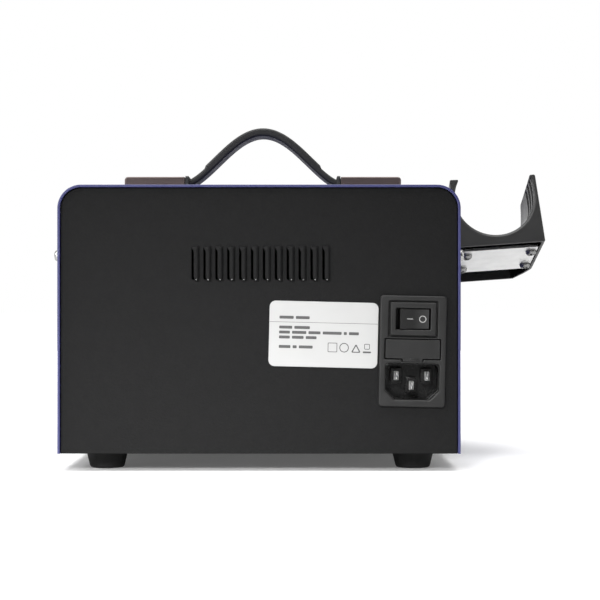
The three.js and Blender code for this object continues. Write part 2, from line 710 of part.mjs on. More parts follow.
function cradleSolid() {
  const outline = cradleOutline();
  const options = { depth: HOLDER_LENGTH, bevelEnabled: false, curveSegments: ROUND_STEPS };
  const bar = new THREE.ExtrudeGeometry(outline, options).rotateX(Math.PI / 2).translate(0, HOLDER_LENGTH, 0);
  const side = polygon([
    [-1, HOLDER_BOTTOM - 1],
    [HOLDER_LENGTH + 1, HOLDER_BOTTOM - 1],
    [HOLDER_LENGTH + 1, -18],
    [48, 1],
    [41, 8],
    [0, HOLDER_TIP],
    [-1, HOLDER_TIP + 1],
  ]);
  const taperStart = HOLDER_TAPER[0].y;
  const plan = polygon([
    [-30, -1],
    [30, -1],
    [30, taperStart],
    ...HOLDER_TAPER.map(({ y, half }) => [half, y]),
    ...[...HOLDER_TAPER].reverse().map(({ y, half }) => [-half, y]),
    [-30, taperStart],
  ]);
  const shaped = common(common(bar, alongX(side, -30, 30)), alongZ(plan, -40, 40));

  const inner = HOLDER_HALF_BOTTOM - HOLDER_WALL;
  const pocketPlan = polygon([
    [-inner, HOLDER_WALL],
    [inner, HOLDER_WALL],
    [inner, 49.6],
    [19.2, 56.8],
    [14.9, HOLDER_LENGTH - HOLDER_WALL],
    [-14.9, HOLDER_LENGTH - HOLDER_WALL],
    [-19.2, 56.8],
    [-inner, 49.6],
  ]);
  const roof = rod(HOLDER_BORE + HOLDER_WALL, HOLDER_LENGTH + 2, 'y', 0, -1, 0, ROUND_STEPS);
  const bosses = CRADLE_SCREW_U.flatMap((u) =>
    CRADLE_SCREW_W.map((w) => rod(BOSS_RADIUS, 12, 'z', u, w, HOLDER_BOTTOM + BRACKET_RECESS)),
  );
  const pocket = cut(alongZ(pocketPlan, HOLDER_BOTTOM - 1, HOLDER_BOTTOM + 10), roof, ...bosses);
  const holes = CRADLE_SCREW_U.flatMap((u) =>
    CRADLE_SCREW_W.map((w) => rod(SCREW_HOLE_RADIUS, 9, 'z', u, w, HOLDER_BOTTOM - 1)),
  );
  // The bracket's shelf lies inside the pocket and leaves it through the flank beside the case.
  const notch = block(
    -30,
    -15,
    BRACKET_START - GAP,
    BRACKET_END + GAP,
    HOLDER_BOTTOM - 1,
    HOLDER_BOTTOM + BRACKET_RECESS,
  );
  return cut(shaped, pocket, notch, ...holes);
}

function makeHolder() {
  const holder = new THREE.Group();
  holder.position.copy(HOLDER_CENTRE);
  holder.rotation.set(HOLDER_PITCH, HOLDER_ROLL, Math.PI + HOLDER_YAW, 'ZXY');
  holder.updateMatrix();
  const toHolder = holder.matrix.clone().invert();
  station.add(holder);

  // Everything stays outside a plane parallel to the case's side.
  const outside = (clearance) =>
    block(-200, -HALF_WIDTH - clearance, -100, 100, 50, 200).applyMatrix4(toHolder);
  part('gun_cradle', common(cradleSolid(), outside(HOLDER_WALL_CLEARANCE)), blackPlastic, holder);

  const plateTop = HOLDER_BOTTOM + BRACKET_RECESS - GAP;
  const plateSide = HOLDER_HALF_BOTTOM - HOLDER_WALL - GAP;
  const plate = alongZ(
    polygon([
      [-HOLDER_HALF_BOTTOM - 8, BRACKET_START],
      [plateSide, BRACKET_START],
      [plateSide, BRACKET_END - 2],
      [plateSide - 2, BRACKET_END],
      [-HOLDER_HALF_BOTTOM - 8, BRACKET_END],
    ]),
    plateTop - BRACKET_THICKNESS,
    plateTop,
  );
  const flangeOutline = polygon([
    [8, 103.7],
    [8, 112],
    [-4, 114],
    [-36, 109],
    [-36, 96.5],
    [-26.6, 93.9],
  ]);
  const flangeX = -HALF_WIDTH - GAP;
  const flange = alongX(flangeOutline, flangeX - BRACKET_THICKNESS, flangeX).applyMatrix4(toHolder);
  const screwHoles = CRADLE_SCREW_U.flatMap((u) =>
    CRADLE_SCREW_W.map((w) =>
      rod(SCREW_HOLE_RADIUS, 5, 'z', u, w, plateTop - BRACKET_THICKNESS - 2),
    ),
  );
  const wallHoles = bracketScrewPlaces.map(([y, z]) =>
    rod(SCREW_HOLE_RADIUS, 6, 'x', -HALF_WIDTH - 4, y, z).applyMatrix4(toHolder),
  );
  const angle = join(common(plate, outside(GAP)), flange);
  part('holder_bracket', cut(angle, ...screwHoles, ...wallHoles), brushedAluminium, holder);

  let number = 1;
  for (const u of CRADLE_SCREW_U) {
    for (const w of CRADLE_SCREW_W) {
      const screw = part(`cradle_screw_${number}`, panScrew(), darkSteel, holder);
      screw.position.set(u, w, plateTop - BRACKET_THICKNESS - 0.1);
      number += 1;
    }
  }
  bracketScrewPlaces.forEach(([y, z], i) => {
    const screw = part(`bracket_screw_${i + 1}`, panScrew(3.2), brightSteel);
    screw.position.set(-INSIDE_HALF + 0.1, y, z);
    screw.rotation.y = -Math.PI / 2;
  });
}

// Front controls
function makeWindows() {
  for (const [name, x] of Object.entries(WINDOW_X)) {
    const bezel = alongY(
      roundedRect(x, WINDOW_Z, WINDOW_WIDTH, WINDOW_HEIGHT, 2),
      FRONT_FACE - 1.6,
      FRONT_FACE - 0.1,
    );
    const tail = block(
      x - WINDOW_WIDTH / 2 + 2,
      x + WINDOW_WIDTH / 2 - 2,
      FRONT_FACE - 0.5,
      FRONT_FACE + 3,
      WINDOW_Z - WINDOW_HEIGHT / 2 + 2,
      WINDOW_Z + WINDOW_HEIGHT / 2 - 2,
    );
    part(`display_window_${name}`, join(bezel, tail), smokedWindow);
  }
}

function makeKnobs() {
  const faceGap = 1.2;
  const profile = [
    [0, 0],
    [KNOB_RADIUS - 1.6, 0],
    [KNOB_RADIUS - 0.6, 0.8],
    [KNOB_RADIUS, KNOB_HEIGHT - 3],
    [KNOB_RADIUS, KNOB_HEIGHT],
    [SHAFT_RADIUS, KNOB_HEIGHT],
    [SHAFT_RADIUS, KNOB_HEIGHT + faceGap + 9],
    [0, KNOB_HEIGHT + faceGap + 9],
  ];
  for (const [name, x] of Object.entries(KNOB_X)) {
    const knob = part(`knob_${name}`, turned(profile, 'y'), blackPlastic);
    knob.position.set(x, FRONT_FACE - KNOB_HEIGHT - faceGap, KNOB_Z);
    const bushing = rod(BUSHING_RADIUS, 8, 'y', 0, -1, 0);
    const can = rod(8.5, 8, 'y', 0, SHEET + GAP, 0, ROUND_STEPS);
    const bore = rod(SHAFT_RADIUS + GAP, 11, 'y', 0, -2, 0);
    const pot = part(`potentiometer_${name}`, cut(join(can, bushing), bore), brightSteel);
    pot.position.set(x, FRONT_FACE, KNOB_Z);
  }
}

function makeSwitches() {
  for (const [name, x] of Object.entries(SWITCH_X)) {
    const place = new THREE.Group();
    place.position.set(x, FRONT_FACE - 0.1, SWITCH_Z);
    // The switch is made with its pivot along Z and its face towards +Y, then turned to face the front.
    place.rotation.set(0, Math.PI / 2, Math.PI);
    station.add(place);
    const bezelOutline = roundedRect(0, 0, SWITCH_BEZEL_HEIGHT, SWITCH_BEZEL_WIDTH, 1);
    const bezel = alongY(bezelOutline, 0, SWITCH_BEZEL_DEPTH);
    const bodyX = SWITCH_BODY_HEIGHT / 2;
    const bodyZ = SWITCH_BODY_WIDTH / 2;
    const body = block(-bodyX, bodyX, -SWITCH_BODY_DEPTH, 0.5, -bodyZ, bodyZ);
    const pocket = block(
      -ROCKER_OPENING_LENGTH / 2,
      ROCKER_OPENING_LENGTH / 2,
      SWITCH_BEZEL_DEPTH - ROCKER_POCKET,
      SWITCH_BEZEL_DEPTH + 1,
      -ROCKER_OPENING_WIDTH / 2,
      ROCKER_OPENING_WIDTH / 2,
    );
    part(`switch_housing_${name}`, cut(join(bezel, body), pocket), blackPlastic, place);
    const rocker = part(`switch_rocker_${name}`, rockerCap(), glossBlack, place);
    rocker.position.set(0, SWITCH_BEZEL_DEPTH - ROCKER_PIVOT_DEPTH, 0);
    rocker.rotation.z = ROCKER_THROW;
  }
}

function makeIronSocket() {
  const place = new THREE.Group();
  place.position.set(OUTLET_X.iron, FRONT_FACE - 0.1, OUTLET_Z);
  station.add(place);
  const flange = rod(10.5, 2.4, 'y', 0, -2.4, 0, ROUND_STEPS);
  const barrel = rod(OUTLET_RADIUS, 12, 'y', 0, -1, 0, ROUND_STEPS);
  const nose = rod(7.2, 6, 'y', 0, -8.2, 0, ROUND_STEPS);
  const bore = rod(5.8, 10, 'y', 0, -9, 0, ROUND_STEPS);
  const pinCount = 5;
  const pinCircle = 3.4;
  const pins = [];
  for (let i = 0; i < pinCount; i += 1) {
    const angle = (i / pinCount) * Math.PI * 2 + Math.PI / 2;
    pins.push(rod(0.7, 6.4, 'y', Math.cos(angle) * pinCircle, -3.9, Math.sin(angle) * pinCircle, 8));
  }
  const shell = cut(join(flange, barrel, nose), bore);
  part('iron_socket', join(shell, ...pins), brightSteel, place);
  const nut = rod(10.4, 3, 'y', 0, SHEET + GAP + 0.1, 0, 6);
  part('iron_socket_nut', cut(nut, rod(OUTLET_RADIUS + GAP, 6, 'y', 0, 0, 0, ROUND_STEPS)), brass, place);
}

const GLAND_BACK = 17;

function makeAirGland() {
  const place = new THREE.Group();
  place.position.set(OUTLET_X.air, FRONT_FACE - 0.1, OUTLET_Z);
  station.add(place);
  const collar = rod(11.5, 5, 'y', 0, -5, 0, 6);
  const dome = rod(9.5, 9, 'y', 0, -13, 0, ROUND_STEPS);
  const barrel = rod(OUTLET_RADIUS, GLAND_BACK + 1, 'y', 0, -1, 0, ROUND_STEPS);
  const bore = rod(5, 40, 'y', 0, -20, 0, ROUND_STEPS);
  part('air_gland', cut(join(collar, dome, barrel), bore), blackPlastic, place);
  const nut = rod(11, 4, 'y', 0, SHEET + GAP + 0.1, 0, 6);
  const threadHole = rod(OUTLET_RADIUS + GAP, 8, 'y', 0, 0, 0, ROUND_STEPS);
  part('air_gland_nut', cut(nut, threadHole), blackPlastic, place);
}

// Inside the case
const TRANSFORMER = { x: 36, y: 62, width: 76, height: 64, stack: 36 };

function makeTransformer() {
  const { x, y, width, height, stack } = TRANSFORMER;
  const leg = 13;
  const bottom = FLOOR_TOP + 2.5;
  const top = bottom + height;
  const left = x - width / 2;
  const y0 = y - stack / 2;
  const y1 = y + stack / 2;
  const windowX0 = left + leg;
  const windowWidth = (width - leg * 4) / 2;
  const windows = [windowX0, x + leg].map((x0) =>
    block(x0, x0 + windowWidth, y0 - 1, y1 + 1, bottom + leg, top - leg),
  );
  const core = cut(block(left, left + width, y0, y1, bottom, top), ...windows);
  part('transformer_core', core, siliconSteel);

  const reach = windowWidth - GAP;
  const wrap = block(
    x - leg - reach,
    x + leg + reach,
    y0 - reach,
    y1 + reach,
    bottom + leg + GAP,
    top - leg - GAP,
  );
  const hole = block(x - leg - GAP, x + leg + GAP, y0 - GAP, y1 + GAP, bottom, top);
  part('transformer_winding', cut(wrap, hole), yellowTape);

  const footThickness = 1.5;
  const footTop = FLOOR_TOP + 0.2 + footThickness;
  const footReach = width / 2 + 10;
  const sole = block(x - footReach, x + footReach, y - 10, y + 10, FLOOR_TOP + 0.2, footTop);
  const uprights = [-1, 1].map((side) => {
    const inner = x + side * (width / 2 + GAP);
    const outer = inner + side * footThickness;
    return block(Math.min(inner, outer), Math.max(inner, outer), y - 10, y + 10, footTop - 1, top);
  });
  part('transformer_bracket', join(sole, ...uprights), brightSteel);
}

const PUMP = { x: 44, y: -30, width: 62, depth: 76, height: 52 };
const PUMP_OUTLET = { x: PUMP.x, y: PUMP.y - PUMP.depth / 2 - 9, z: 40 };

function makePump() {
  const { x, y, width, depth, height } = PUMP;
  const bottom = FLOOR_TOP + 6;
  const y0 = y - depth / 2;
  const x0 = x - width / 2;
  const shell = block(x0, x0 + width, y0, y0 + depth, bottom, bottom + height);
  const bay = block(x0 + 5, x0 + width - 5, y0 + 16, y0 + depth - 5, bottom + 5, bottom + height + 1);
  const nozzle = rod(3, 10, 'y', PUMP_OUTLET.x, PUMP_OUTLET.y, PUMP_OUTLET.z);
  const duct = rod(1.6, 13, 'y', PUMP_OUTLET.x, PUMP_OUTLET.y - 1, PUMP_OUTLET.z);
  const pads = [-1, 1].flatMap((sx) =>
    [-1, 1].map((sy) =>
      rod(4.5, 7, 'z', x + sx * (width / 2 - 7), y + sy * (depth / 2 - 7), FLOOR_TOP + 0.2),
    ),
  );
  part('pump_body', cut(join(shell, nozzle, ...pads), bay, duct), brushedAluminium);

  const armHalf = 8;
  const armLow = bottom + 16;
  const arm = block(-armHalf, armHalf, 0, 44, armLow, armLow + 12);
  const post = rod(4, 38, 'z', 0, 0, bottom + 5 + GAP);
  const armature = part('pump_armature', join(arm, post), siliconSteel);
  armature.position.set(x, y0 + 22, 0);
}

// Rubber air line from the pump's outlet to the back of the hose gland.
function makeAirTube() {
  const from = new THREE.Vector3(PUMP_OUTLET.x, PUMP_OUTLET.y - GAP, PUMP_OUTLET.z);
  const to = new THREE.Vector3(OUTLET_X.air, FRONT_FACE + GLAND_BACK + 0.3, OUTLET_Z);
  const route = new THREE.CatmullRomCurve3([
    from,
    new THREE.Vector3(from.x, from.y - 5, from.z),
    new THREE.Vector3(from.x - 6, from.y - 13, from.z + 1),
    new THREE.Vector3(from.x - 20, from.y - 15, from.z + 2),
    new THREE.Vector3(0, from.y - 9, 39),
    new THREE.Vector3(to.x + 10, to.y + 20, 34),
    new THREE.Vector3(to.x + 1, to.y + 13, 31.5),
    new THREE.Vector3(to.x, to.y + 6, to.z),
    to,
  ]);
  const outline = new THREE.Shape();
  outline.absarc(0, 0, 4, 0, Math.PI * 2);
  const hollow = new THREE.Path();
  hollow.absarc(0, 0, 2.6, 0, Math.PI * 2);
  outline.holes.push(hollow);
  const options = { steps: 22, extrudePath: route, bevelEnabled: false, curveSegments: 5 };
  part('air_tube', new THREE.ExtrudeGeometry(outline, options), clearTube);
}

function makeBoards() {
  const boardZ = FLOOR_TOP + 8;
  const x0 = -86;
  const x1 = -16;
  const y0 = -72;
  const y1 = 62;
  const board = block(x0, x1, y0, y1, boardZ, boardZ + 1.6);
  const standoffs = [
    [x0 + 6, y0 + 6],
    [x1 - 6, y0 + 6],
    [x0 + 6, y1 - 6],
    [x1 - 6, y1 - 6],
  ].map(([x, y]) => rod(3, boardZ - FLOOR_TOP, 'z', x, y, FLOOR_TOP + 0.2));
  const relay = block(x0 + 10, x0 + 28, y0 + 22, y0 + 42, boardZ + 1, boardZ + 17);
  const terminals = block(x0 + 16, x1 - 14, y1 - 12, y1 - 2, boardZ + 1, boardZ + 12);
  part('main_board', join(board, ...standoffs, relay, terminals), greenBoard);

  const sinkZ = boardZ + 1.8;
  const sinkTop = sinkZ + 34;
  const sinkX = -58;
  const finPitch = 6.8;
  const finThickness = 2;
  const back = block(sinkX, sinkX + 5 * finPitch + finThickness, 8, 11, sinkZ, sinkTop);
  const fins = Array.from({ length: 6 }, (_, i) => {
    const x = sinkX + i * finPitch;
    return block(x, x + finThickness, 10, 26, sinkZ, sinkTop);
  });
  part('heatsink', join(back, ...fins), brushedAluminium);

  const canProfile = [
    [0, 0],
    [8.6, 0],
    [9, 0.5],
    [9, 29.5],
    [8.6, 30],
    [0, 30],
  ];
  const can = part('filter_capacitor', turned(canProfile, 'y').rotateX(Math.PI / 2), glossBlack);
  can.position.set(-34, -40, sinkZ);

  const controlY = FRONT_FACE + 14;
  const control = block(-84, 84, controlY, controlY + 1.6, 80, 122);
  const digits = Object.values(WINDOW_X).map((x) =>
    block(x - 25, x + 25, FRONT_FACE + 4, controlY + 0.5, WINDOW_Z - 9, WINDOW_Z + 9),
  );
  part('control_board', join(control, ...digits), greenBoard);
}

makeCover();
makeRearPanel();
makeFrontPanel();
makeBaseTray();
makeFeet();
makeSideScrews();
makeLabel();
makeInletModule();
makeStrap();
makeHandleEnds();
makeHolder();
makeWindows();
makeKnobs();
makeSwitches();
makeIronSocket();
makeAirGland();
makeTransformer();
makePump();
makeAirTube();
makeBoards();

// The origin goes to the middle of the footprint, at the height that the feet stand on.
station.updateMatrixWorld(true);
const bounds = new THREE.Box3().setFromObject(station, true);
const middle = bounds.getCenter(new THREE.Vector3());
station.position.set(-middle.x, -middle.y, -bounds.min.z);
const group = new THREE.Group();
group.add(station);

export default group;
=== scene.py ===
import math

import bpy
from mathutils import Matrix, Vector
from mathutils.geometry import tessellate_polygon


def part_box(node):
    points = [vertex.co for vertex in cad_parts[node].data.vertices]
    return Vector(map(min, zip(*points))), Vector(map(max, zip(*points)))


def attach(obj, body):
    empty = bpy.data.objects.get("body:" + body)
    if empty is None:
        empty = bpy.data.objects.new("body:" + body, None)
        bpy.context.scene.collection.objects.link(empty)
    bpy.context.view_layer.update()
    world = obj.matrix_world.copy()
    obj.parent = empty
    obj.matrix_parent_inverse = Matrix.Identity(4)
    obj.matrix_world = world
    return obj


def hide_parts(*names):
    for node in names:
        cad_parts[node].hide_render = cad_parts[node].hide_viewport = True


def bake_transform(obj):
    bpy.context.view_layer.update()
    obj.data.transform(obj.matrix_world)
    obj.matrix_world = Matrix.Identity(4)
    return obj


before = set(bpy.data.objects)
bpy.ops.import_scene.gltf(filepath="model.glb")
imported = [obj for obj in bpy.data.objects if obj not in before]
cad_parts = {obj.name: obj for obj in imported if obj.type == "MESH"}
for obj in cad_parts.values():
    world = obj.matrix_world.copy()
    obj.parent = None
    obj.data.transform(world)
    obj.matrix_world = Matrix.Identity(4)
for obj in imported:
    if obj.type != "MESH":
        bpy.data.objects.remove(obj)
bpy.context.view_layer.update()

# Lengths below are millimetres in the case's own frame: its origin is under the middle of the
# case, +Z is up and the rear panel faces +Y. case_place takes that frame to the CAD frame.
MM = 0.001
cover_low, cover_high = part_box("top_cover")
CASE_X = (cover_low.x + cover_high.x) / 2
CASE_Y = (cover_low.y + cover_high.y) / 2
HALF_WIDTH = (cover_high.x - cover_low.x) / 2 / MM
HALF_DEPTH = (cover_high.y - cover_low.y) / 2 / MM
CASE_BOTTOM = cover_low.z / MM
CASE_TOP = cover_high.z / MM
case_place = Matrix.Translation((CASE_X, CASE_Y, 0)) @ Matrix.Scale(MM, 4)

SHEET = 1.2
GAP = 0.3
CORNER_RADIUS = 11
INSIDE_HALF = HALF_WIDTH - SHEET
PANEL_HALF = INSIDE_HALF - GAP
PANEL_INSET = 1.5
REAR_FACE = HALF_DEPTH - PANEL_INSET
FRONT_FACE = -REAR_FACE

# Local frames. A shape drawn in X and Y with its thickness along Z is stood up by these.
UPRIGHT = Matrix(((1, 0, 0, 0), (0, 0, 1, 0), (0, 1, 0, 0), (0, 0, 0, 1)))
FACING_FRONT = Matrix(((1, 0, 0, 0), (0, 0, -1, 0), (0, 1, 0, 0), (0, 0, 0, 1)))
FACING_SIDE = Matrix(((0, 0, 1, 0), (1, 0, 0, 0), (0, 1, 0, 0), (0, 0, 0, 1)))


def shift(x=0, y=0, z=0):
    return Matrix.Translation((x, y, z))


def turn(angle, axis):
    return Matrix.Rotation(angle, 4, axis)


# Outlines


def soften(points, radius, steps=5):
    """A closed outline with every corner rounded. A point may carry its own radius."""
    result = []
    count = len(points)
    for i, point in enumerate(points):
        corner = Vector(point[:2])
        back = Vector(points[i - 1][:2]) - corner
        ahead = Vector(points[(i + 1) % count][:2]) - corner
        wanted = point[2] if len(point) > 2 else radius
        angle = back.angle(ahead)
        if wanted <= 0 or angle > math.radians(176):
            result.append(corner)
            continue
        reach = min(wanted / math.tan(angle / 2), 0.49 * back.length, 0.49 * ahead.length)
        round_off = reach * math.tan(angle / 2)
        middle = (back.normalized() + ahead.normalized()).normalized()
        centre = corner + middle * (round_off / math.sin(angle / 2))
        first = corner + back.normalized() * reach - centre
        sweep = math.pi - angle
        if back.x * ahead.y - back.y * ahead.x > 0:
            sweep = -sweep
        for k in range(steps + 1):
            result.append(centre + Matrix.Rotation(sweep * k / steps, 2) @ first)
    return result


def rectangle(x0, x1, y0, y1):
    return [(x0, y0), (x1, y0), (x1, y1), (x0, y1)]


def rounded_rectangle(x, y, width, height, radius, steps=5):
    half_w = width / 2
    half_h = height / 2
    return soften(rectangle(x - half_w, x + half_w, y - half_h, y + half_h), radius, steps)


def circle(radius, steps=48, x=0, y=0):
    return [
        Vector((x + radius * math.cos(math.tau * i / steps), y + radius * math.sin(math.tau * i / steps)))
        for i in range(steps)
    ]


def signed_area(points):
    total = 0
    for i, point in enumerate(points):
        last = points[i - 1]
        total += last[0] * point[1] - point[0] * last[1]
    return total / 2


def wound(points, anticlockwise):
    points = [Vector(p[:2]) for p in points]
    return points if (signed_area(points) > 0) == anticlockwise else points[::-1]


def inset(points, amount):
    """An outline moved to its left by an amount, corners kept."""
    result = []
    for i, here in enumerate(points):
        before = (here - points[i - 1]).normalized()
        after = (points[(i + 1) % len(points)] - here).normalized()
        n1 = Vector((-before.y, before.x))
        n2 = Vector((-after.y, after.x))
        result.append(here + (n1 + n2) * (amount / max(0.3, 1 + n1.dot(n2))))
    return result


# Solids


class Shape:
    """Points and faces in millimetres, put together from simple closed solids."""

    def __init__(self):
        self.points = []
        self.faces = []

    def add(self, solid, place=Matrix.Identity(4)):
        points, faces = solid
        start = len(self.points)
        self.points.extend(place @ Vector(p) for p in points)
        mirrored = place.determinant() < 0
        for face in faces:
            indices = [start + i for i in face]
            self.faces.append(indices[::-1] if mirrored else indices)
        return self


def plate(outer, holes, z0, z1, edge=0.2, steps=3, back_edge=None):
    """A flat plate from z0 to z1 with round edges. back_edge is the radius at z0."""
    back_edge = edge if back_edge is None else back_edge
    outlines = [wound(outer, True)] + [wound(hole, False) for hole in holes]
    levels = []
    for k in range(steps + 1 if back_edge else 1):
        a = math.pi / 2 * k / steps
        levels.append((back_edge * (1 - math.sin(a)), z0 + back_edge * (1 - math.cos(a))))
    for k in range(steps + 1 if edge else 1):
        a = math.pi / 2 * k / steps if edge else 0
        levels.append((edge * (1 - math.cos(a)), z1 - edge * (1 - math.sin(a))))
    points = []
    faces = []
    caps = {0: [], len(levels) - 1: []}
    for outline in outlines:
        count = len(outline)
        previous = None
        for level, (amount, z) in enumerate(levels):
            ring = inset(outline, amount) if amount else outline
            start = len(points)
            points.extend(Vector((p.x, p.y, z)) for p in ring)
            if level in caps:
                caps[level].append((start, ring))
            if previous is not None:
                for i in range(count):
                    j = (i + 1) % count
                    faces.append((previous + i, previous + j, start + j, start + i))
            previous = start
    for level, rings in caps.items():
        index = [start + i for start, ring in rings for i in range(len(ring))]
        flat = [[Vector((p.x, p.y, 0)) for p in ring] for _, ring in rings]
        for a, b, c in tessellate_polygon(flat):
            triangle = (index[a], index[b], index[c])
            up = signed_area([points[i] for i in triangle]) > 0
            faces.append(triangle if up == (level > 0) else triangle[::-1])
    return points, faces


def slab(x0, x1, y0, y1, z0, z1, edge=0.2, corner=0.3):
    return plate(soften(rectangle(x0, x1, y0, y1), corner, 3), [], z0, z1, edge)


def lathe(profile, steps=48, closed=False):
    """A profile of (radius, height) points turned about Z, from the bottom up on the outside."""
    points = []
    faces = []
    rings = []
    for radius, height in profile:
        start = len(points)
        if radius <= 0:
            points.append(Vector((0, 0, height)))
            rings.append((start, 1))
            continue
        for i in range(steps):
            a = math.tau * i / steps
            points.append(Vector((radius * math.cos(a), radius * math.sin(a), height)))
        rings.append((start, steps))
    pairs = list(zip(rings, rings[1:]))
    if closed:
        pairs.append((rings[-1], rings[0]))
    for (low, low_count), (high, high_count) in pairs:
        for i in range(steps):
            j = (i + 1) % steps
            if low_count == 1 and high_count == 1:
                continue
            if low_count == 1:
                faces.append((low, high + j, high + i))
            elif high_count == 1:
                faces.append((low + i, low + j, high))
            else:
                faces.append((low + i, low + j, high + j, high + i))
    return points, faces


def soft_lathe(profile, radius, steps=48, arc_steps=3):
    """A turned solid whose inner and outer corners are rounded. The profile starts and ends on the axis."""
    softened = [Vector(profile[0])]
    for i in range(1, len(profile) - 1):
        corner = Vector(profile[i][:2])
        back = Vector(profile[i - 1][:2]) - corner
        ahead = Vector(profile[i + 1][:2]) - corner
        wanted = profile[i][2] if len(profile[i]) > 2 else radius
        reach = min(wanted, 0.45 * back.length, 0.45 * ahead.length)
        start = corner + back.normalized() * reach
        end = corner + ahead.normalized() * reach
        for k in range(arc_steps + 1):
            t = k / arc_steps
            softened.append(start * (1 - t) ** 2 + corner * 2 * t * (1 - t) + end * t * t)
    softened.append(Vector(profile[-1]))
    return lathe(softened, steps)


def loft(rings):
    """A solid through rings of points, all with the same count, capped at both ends."""
    count = len(rings[0])
    points = [p for ring in rings for p in ring]
    faces = [tuple(range(count))[::-1]]
    for r in range(len(rings) - 1):
        for i in range(count):
            j = (i + 1) % count
            faces.append((r * count + i, r * count + j, (r + 1) * count + j, (r + 1) * count + i))
    faces.append(tuple((len(rings) - 1) * count + i for i in range(count)))
    return points, faces


def build_mesh(name, shape, place=case_place):
    mesh = bpy.data.meshes.new(name)
    points = [place @ p for p in shape.points]
    mesh.from_pydata([p[:] for p in points], [], shape.faces)
    mesh.update()
    return mesh


def piece(name, shape, material, body="root", replaces=(), bevel=0.0, angle=34):
    """Makes the object, gives it its looks, and lets it ride on its body."""
    obj = bpy.data.objects.new(name, build_mesh(name, shape))
    bpy.context.scene.collection.objects.link(obj)
    return dress(obj, material, body, replaces, bevel, angle)


def dress(obj, material, body, replaces=(), bevel=0.0, angle=34):
    obj.data.materials.clear()
    obj.data.materials.append(material)
    smooth(obj, bevel, angle)
    if body is not None:
        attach(obj, body)
    if replaces:
        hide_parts(*replaces)
    return obj


def smooth(obj, bevel=0.0, angle=34):
    if bevel:
        rounding = obj.modifiers.new("rounding", "BEVEL")
        rounding.width = bevel * MM
        rounding.segments = 3
        rounding.limit_method = "ANGLE"
        rounding.angle_limit = math.radians(angle)
        rounding.use_clamp_overlap = True
    obj.data.polygons.foreach_set("use_smooth", [True] * len(obj.data.polygons))
    obj.data.set_sharp_from_angle(angle=math.radians(angle if not bevel else 80))
    weighted = obj.modifiers.new("normals", "WEIGHTED_NORMAL")
    weighted.keep_sharp = True
    obj.data.update()


def mark_faces(obj, material, place, wanted):
    """Gives a second material to each face whose centre, in the frame of place, is wanted."""
    obj.data.materials.append(material)
    to_local = (case_place @ place).inverted()
    for face in obj.data.polygons:
        if wanted(to_local @ face.center):
            face.material_index = 1


def carve(base, cutters, keep=()):
    """The solid left when cutters are taken from the base and it is held inside every keep solid."""
    helpers = []

    def temporary(shape, name):
        obj = bpy.data.objects.new(name, build_mesh(name, shape, Matrix.Identity(4)))
        bpy.context.scene.collection.objects.link(obj)
        helpers.append(obj)
        return obj

    body = temporary(base, "carve_base")
    jobs = [(cutter, "DIFFERENCE") for cutter in cutters] + [(solid, "INTERSECT") for solid in keep]
    for i, (shape, operation) in enumerate(jobs):
        modifier = body.modifiers.new(f"cut_{i}", "BOOLEAN")
        modifier.object = temporary(shape, f"carve_tool_{i}")
        modifier.operation = operation
        modifier.solver = "EXACT"
    bpy.context.view_layer.update()
    evaluated = body.evaluated_get(bpy.context.evaluated_depsgraph_get())
    mesh = bpy.data.meshes.new_from_object(evaluated)
    result = Shape()
    result.points = [v.co.copy() for v in mesh.vertices]
    result.faces = [tuple(p.vertices) for p in mesh.polygons]
    bpy.data.meshes.remove(mesh)
    for obj in helpers:
        bpy.data.objects.remove(obj)
    return result


# Materials


